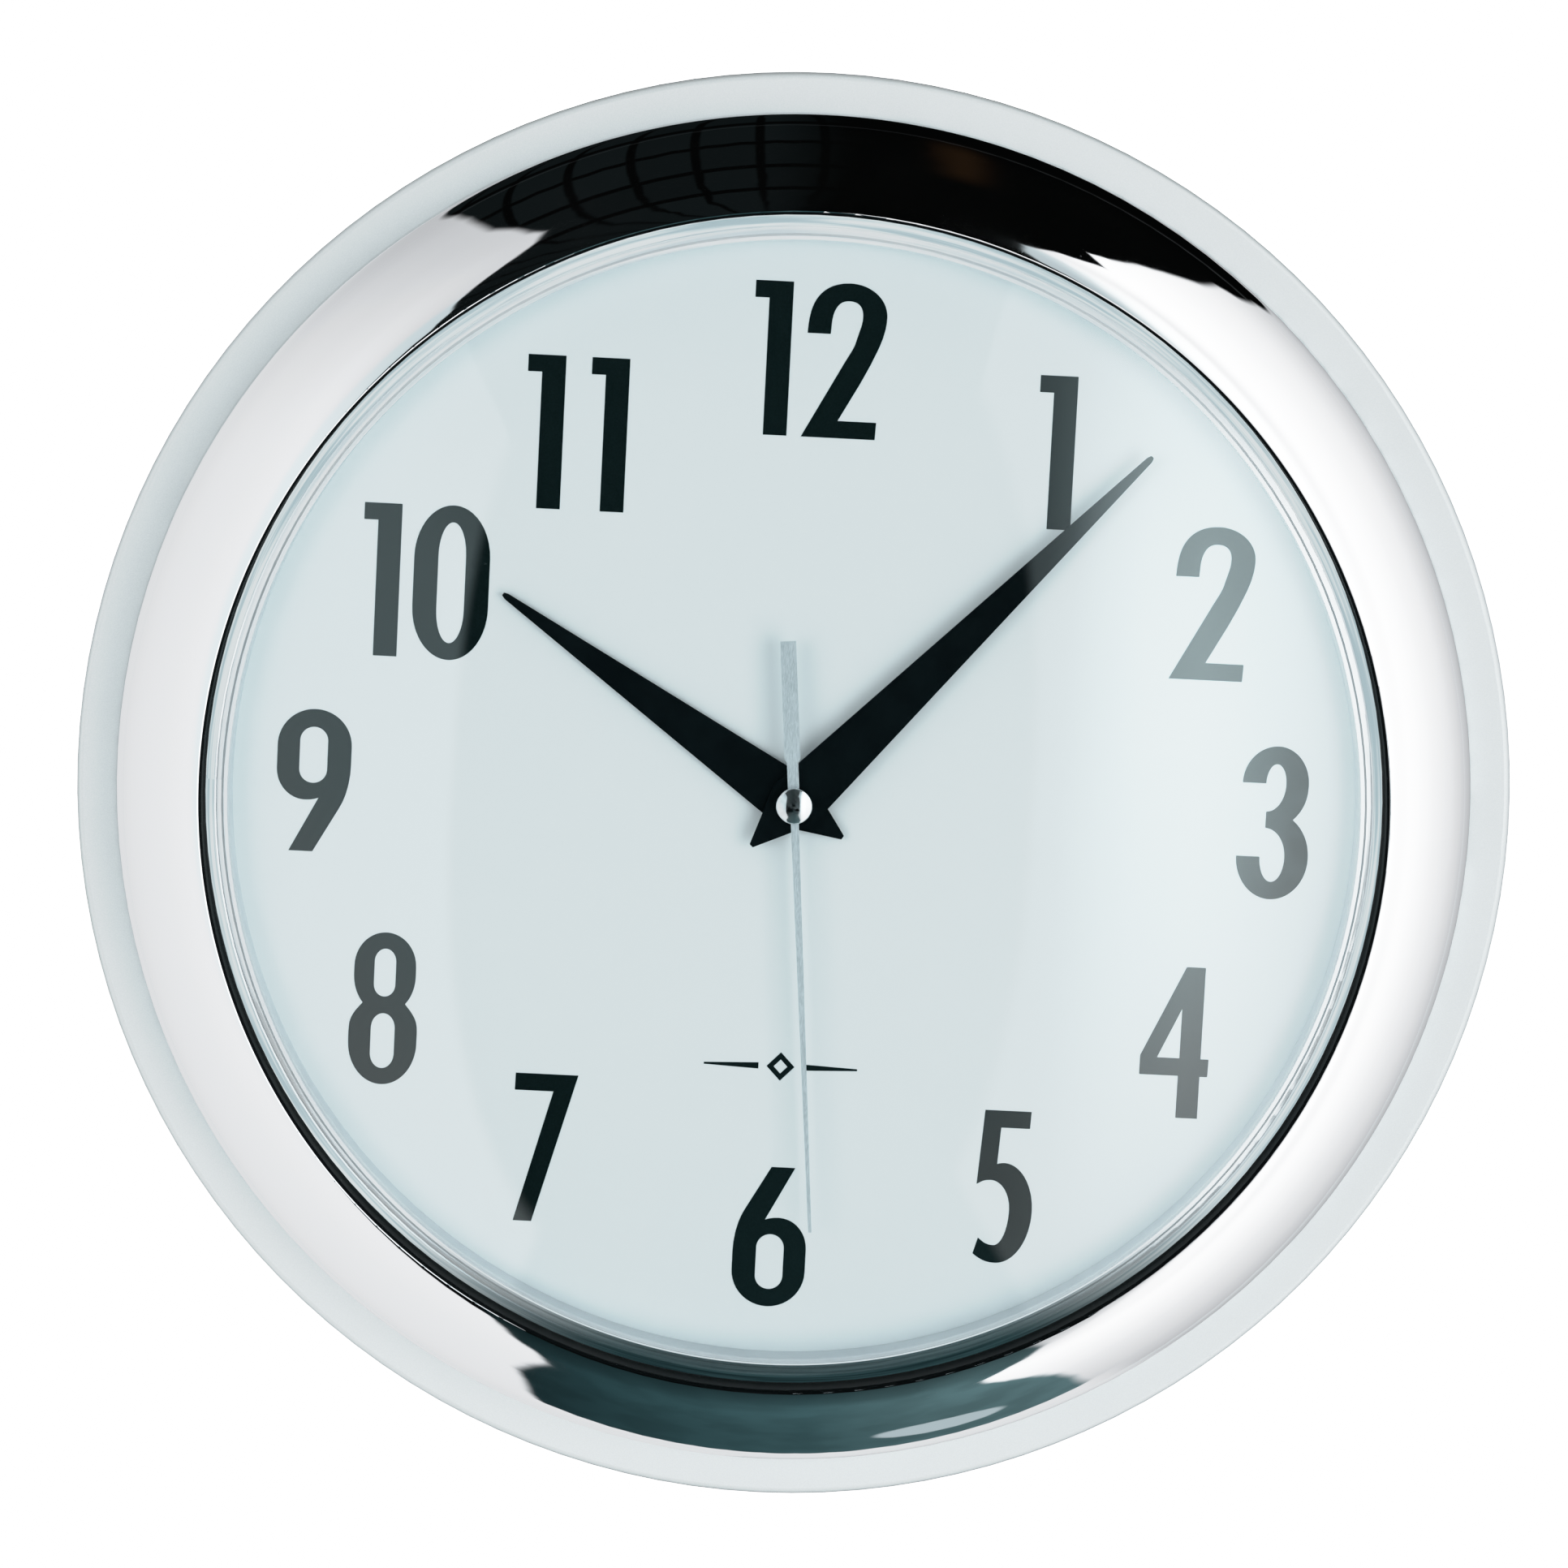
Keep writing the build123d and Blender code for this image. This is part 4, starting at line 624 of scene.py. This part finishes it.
def winding():
    """Enamelled wire laid in close turns, with painted shade in the grooves between turns."""
    net = new_net("copper_wire")
    coords = net.coords()
    turns = net.node("TexWave", {
        "Scale": 2100.0, "Distortion": 0.6, "Detail": 1.0, "Vector": coords,
    }, wave_type="BANDS", bands_direction="Z", wave_profile="SIN").outputs["Fac"]
    cloud = net.noise(coords, scale=300.0)
    # painted shade: the colour runs from dark in the grooves to bright on each turn
    tone = net.mix(turns, rgb(0.27, 0.075, 0.022), rgb(0.82, 0.38, 0.16))
    return net.close(net.principled(
        Base_Color=net.mix(net.mul(cloud, 0.35), tone, rgb(0.62, 0.22, 0.08)),
        Metallic=0.9, Roughness=0.28, Coat_Weight=0.5, Coat_Roughness=0.12,
        Normal=net.bump(turns, strength=0.8, depth=6e-5),
    ))


def solder_mask():
    """Green circuit board with a grid of paler lines."""
    net = new_net("board")
    coords = net.coords()
    grid = net.node("TexBrick", {
        "Scale": 420.0, "Mortar Size": 0.035, "Color1": rgb(0.03, 0.16, 0.065),
        "Color2": rgb(0.045, 0.21, 0.09), "Mortar": rgb(0.09, 0.30, 0.12),
        "Vector": net.mapped(coords, Rotation=(math.radians(90), 0, 0))}).outputs
    grain = net.noise(coords, scale=1500.0)
    return net.close(net.principled(
        Base_Color=net.mix(net.mul(grain, 0.4), grid["Color"], rgb(0.02, 0.11, 0.05)),
        Roughness=net.step(grain, over=(0.3, 0.7), to=(0.22, 0.38)), Coat_Weight=0.3,
        Normal=net.bump(grid["Fac"], strength=0.3, depth=3e-5),
    ))


def cell_jacket():
    """Printed jacket in two plain bands; the ends are bare nickel-plated steel."""
    net = new_net("battery_wrap")
    low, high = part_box("battery")
    length = (high.x - low.x) * MM
    coords = net.coords()
    along = net.mul(net.minus(net.separate(coords)[0], low.x), MM)
    scuff = net.noise(net.mapped(coords, Scale=(3.0, 1.0, 1.0)),
                      scale=420.0, detail=4.0, rough=0.7)
    cloud = net.noise(coords, scale=70.0)
    body = net.tint(cloud, rgb(0.075, 0.125, 0.215), rgb(0.10, 0.165, 0.27))
    worn = net.mul(net.step(scuff, over=(0.6, 0.75)), 0.35)
    body = net.mix(worn, body, rgb(0.35, 0.40, 0.48))
    band = net.tint(cloud, rgb(0.56, 0.38, 0.10), rgb(0.66, 0.46, 0.14))
    jacket = net.tint(along, body, band, over=(length - 14.2, length - 14.0))
    steel = net.mix(cloud, grey(0.60), grey(0.72))
    ends = net.math("MAXIMUM", net.minus(1.0, net.step(along, over=(0.75, 0.95))),
                    net.step(along, over=(length - 2.1, length - 1.9)))
    return net.close(net.principled(
        Base_Color=net.mix(ends, jacket, steel),
        Metallic=net.plus(net.mul(ends, 0.65), 0.35),
        Roughness=net.step(scuff, over=(0.3, 0.7), to=(0.22, 0.36)), Coat_Weight=0.35,
        Normal=net.bump(scuff, strength=0.2, depth=2e-5),
    ))


def brushed_second():
    """Aluminium strip brushed along its length, in the hand's own direction."""
    net = new_net("second_silver")
    coords = net.coords()
    along_hand = net.mapped(coords, Rotation=(0, math.radians(-5.0), 0), Scale=(1.0, 1.0, 0.10))
    lines = net.noise(along_hand, scale=9000.0, detail=2.0, rough=0.6)
    cloud = net.noise(coords, scale=80.0)
    tone = net.tint(lines, rgb(0.40, 0.475, 0.505), rgb(0.60, 0.67, 0.70))
    return net.close(net.principled(
        Base_Color=net.mix(net.mul(cloud, 0.2), tone, rgb(0.64, 0.71, 0.75)),
        Metallic=0.45, Roughness=net.step(lines, over=(0.3, 0.7), to=(0.30, 0.44)),
        Normal=net.bump(lines, strength=0.3, depth=1e-5),
    ))


def make_finishes():
    return [
        bezel_chrome(),
        plastic("shell_plastic", light=rgb(0.052, 0.054, 0.058), dark=rgb(0.032, 0.034, 0.037),
                rough=(0.44, 0.60), grain=1500.0, depth=8e-5),
        lens_clear(),
        plastic("ring_plastic", light=rgb(0.62, 0.68, 0.715), dark=rgb(0.55, 0.61, 0.65),
                rough=(0.30, 0.40), grain=2200.0, depth=2e-5),
        dial_paper(),
        printed_ink(),
        hand_lacquer(),
        brushed_second(),
        metal("cap_chrome", light=rgb(0.90, 0.91, 0.92), dark=rgb(0.82, 0.83, 0.84),
              rough=(0.04, 0.09), grain=1800.0, depth=3e-6),
        plastic("case_plastic", light=rgb(0.034, 0.035, 0.037), dark=rgb(0.021, 0.022, 0.024),
                rough=(0.45, 0.60), grain=1900.0, depth=8e-5),
        plastic("gear_white", light=rgb(0.83, 0.82, 0.775), dark=rgb(0.75, 0.735, 0.68),
                rough=(0.34, 0.46), grain=1700.0, depth=2e-5, mottled=120.0),
        plastic("gear_black", light=rgb(0.055, 0.055, 0.06), dark=rgb(0.033, 0.033, 0.036),
                rough=(0.34, 0.46), grain=1700.0, depth=2e-5, mottled=120.0),
        plastic("knob_plastic", light=rgb(0.075, 0.075, 0.08), dark=rgb(0.045, 0.045, 0.049),
                rough=(0.40, 0.55), grain=1600.0, depth=5e-5, mottled=120.0),
        metal("magnet", light=grey(0.15), dark=grey(0.085), rough=(0.5, 0.7), grain=1400.0,
              depth=4e-5, metallic=0.6),
        metal("stator_steel", light=rgb(0.56, 0.57, 0.58), dark=rgb(0.42, 0.43, 0.44),
              rough=(0.28, 0.42), grain=2600.0, stretch=(1.0, 1.0, 0.06)),
        plastic("bobbin_plastic", light=rgb(0.77, 0.735, 0.63), dark=rgb(0.68, 0.64, 0.53),
                rough=(0.36, 0.48), grain=1500.0, depth=2e-5, mottled=160.0),
        winding(),
        solder_mask(),
        plastic("epoxy", light=rgb(0.016, 0.016, 0.017), dark=rgb(0.008, 0.008, 0.009),
                rough=(0.10, 0.20), grain=900.0, depth=3e-5, mottled=200.0, coat=0.4),
        metal("crystal_can", light=grey(0.72), dark=grey(0.58), rough=(0.16, 0.28),
              grain=3200.0, stretch=(1.0, 1.0, 0.08)),
        metal("contact_steel", light=rgb(0.74, 0.735, 0.72), dark=rgb(0.60, 0.595, 0.58),
              rough=(0.20, 0.32), grain=2400.0, stretch=(1.0, 1.0, 0.05)),
        cell_jacket(),
        metal("screw_steel", light=rgb(0.60, 0.60, 0.61), dark=rgb(0.44, 0.44, 0.45),
              rough=(0.24, 0.38), grain=2200.0, spangle=0.12),
        metal("hanger_steel", light=rgb(0.64, 0.64, 0.65), dark=rgb(0.48, 0.48, 0.49),
              rough=(0.26, 0.40), grain=1800.0, stretch=(0.05, 1.0, 1.0), spangle=0.22),
    ]


finishes = {material.name: material for material in make_finishes()}
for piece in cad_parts.values():
    for slot in piece.material_slots:
        if slot.material:
            slot.material = finishes.get(slot.material.name + "_finish", slot.material)


# ------------------------------------------------------------ studio
LOW_LIGHT = rgb(0.50, 0.505, 0.51)     # even light from below
HIGH_LIGHT = rgb(0.60, 0.605, 0.61)    # and from above


def studio_world():
    """Camera rays see plain white, and light that falls on the object is even."""
    world = bpy.data.worlds.new("studio")
    scene.world = world
    net = Net(world)
    room, z = studio_colour(net, net.node("TexCoord").outputs["Generated"])
    ray = net.node("LightPath").outputs
    mirrored = net.math("MAXIMUM", ray["Is Glossy Ray"], ray["Is Transmission Ray"], clamp=True)
    even = net.tint(z, LOW_LIGHT, HIGH_LIGHT, over=(-0.4, 0.9))
    colour = net.mix(mirrored, even, room)
    colour = net.mix(ray["Is Camera Ray"], colour, grey(WHITE_LEVEL))
    net.close(net.out("Background", {"Color": colour, "Strength": 1.0}), "OutputWorld")


def pale_floor():
    """Glowing floor just below the bezel, white to the camera and unseen in reflections."""
    half, gap = 3.0, 0.012
    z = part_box("bezel")[0].z - gap
    mesh = bpy.data.meshes.new("floor")
    corners = [(-half, -half, z), (half, -half, z), (half, half, z), (-half, half, z)]
    mesh.from_pydata(corners, [], [(0, 1, 2, 3)])
    floor = bpy.data.objects.new("floor", mesh)
    scene.collection.objects.link(floor)
    net = new_net("floor")
    camera_ray = net.node("LightPath").outputs["Is Camera Ray"]
    glow = net.out("Emission", {"Color": net.mix(camera_ray, LOW_LIGHT, grey(WHITE_LEVEL))})
    mesh.materials.append(net.close(glow))
    floor.visible_glossy = False
    floor.visible_transmission = False
    floor.visible_shadow = False


def soft_light(name, place, size, power):
    """Rectangular light aimed at the clock, seen only by what it falls on."""
    data = bpy.data.lights.new(name, "AREA")
    data.shape = "RECTANGLE"
    data.size, data.size_y = size
    data.energy = power
    light = bpy.data.objects.new(name, data)
    scene.collection.objects.link(light)
    light.location = place
    light.rotation_mode = "QUATERNION"
    light.rotation_quaternion = (TARGET - Vector(place)).to_track_quat("-Z", "Y")
    light.visible_glossy = False
    light.visible_transmission = False
    light.visible_camera = False


def front_camera():
    """Long lens in front of the clock, a little above it and slightly rolled."""
    azimuth, elevation, roll = (math.radians(angle) for angle in (-0.592, 7.447, 2.943))
    distance = 1.200
    back = Vector((math.sin(azimuth) * math.cos(elevation),
                   -math.cos(azimuth) * math.cos(elevation),
                   math.sin(elevation)))
    level = Vector((math.cos(azimuth), math.sin(azimuth), 0.0))
    upright = back.cross(level).normalized()
    right = math.cos(roll) * level + math.sin(roll) * upright
    up = -math.sin(roll) * level + math.cos(roll) * upright
    place = TARGET + back * distance
    data = bpy.data.cameras.new("camera")
    data.sensor_width = 36.0         # mm
    data.lens = 132.54596273         # mm
    data.shift_x = -0.00636646       # shares of the picture's width
    data.shift_y = 0.009782609
    data.clip_start, data.clip_end = 0.02, 20.0
    camera = bpy.data.objects.new("camera", data)
    scene.collection.objects.link(camera)
    rows = [(right[i], up[i], back[i], place[i]) for i in range(3)]
    camera.matrix_world = Matrix((*rows, (0.0, 0.0, 0.0, 1.0)))
    scene.camera = camera


studio_world()
pale_floor()
soft_light("panel_left", place=(-0.80, -1.10, -0.22), size=(0.8, 1.3), power=8.3)
soft_light("panel_right", place=(0.80, -1.10, -0.22), size=(0.8, 1.3), power=9.9)
soft_light("panel_back", place=(0.4, 1.1, 0.8), size=(1.2, 1.2), power=6.0)
front_camera()

bpy.context.view_layer.update()
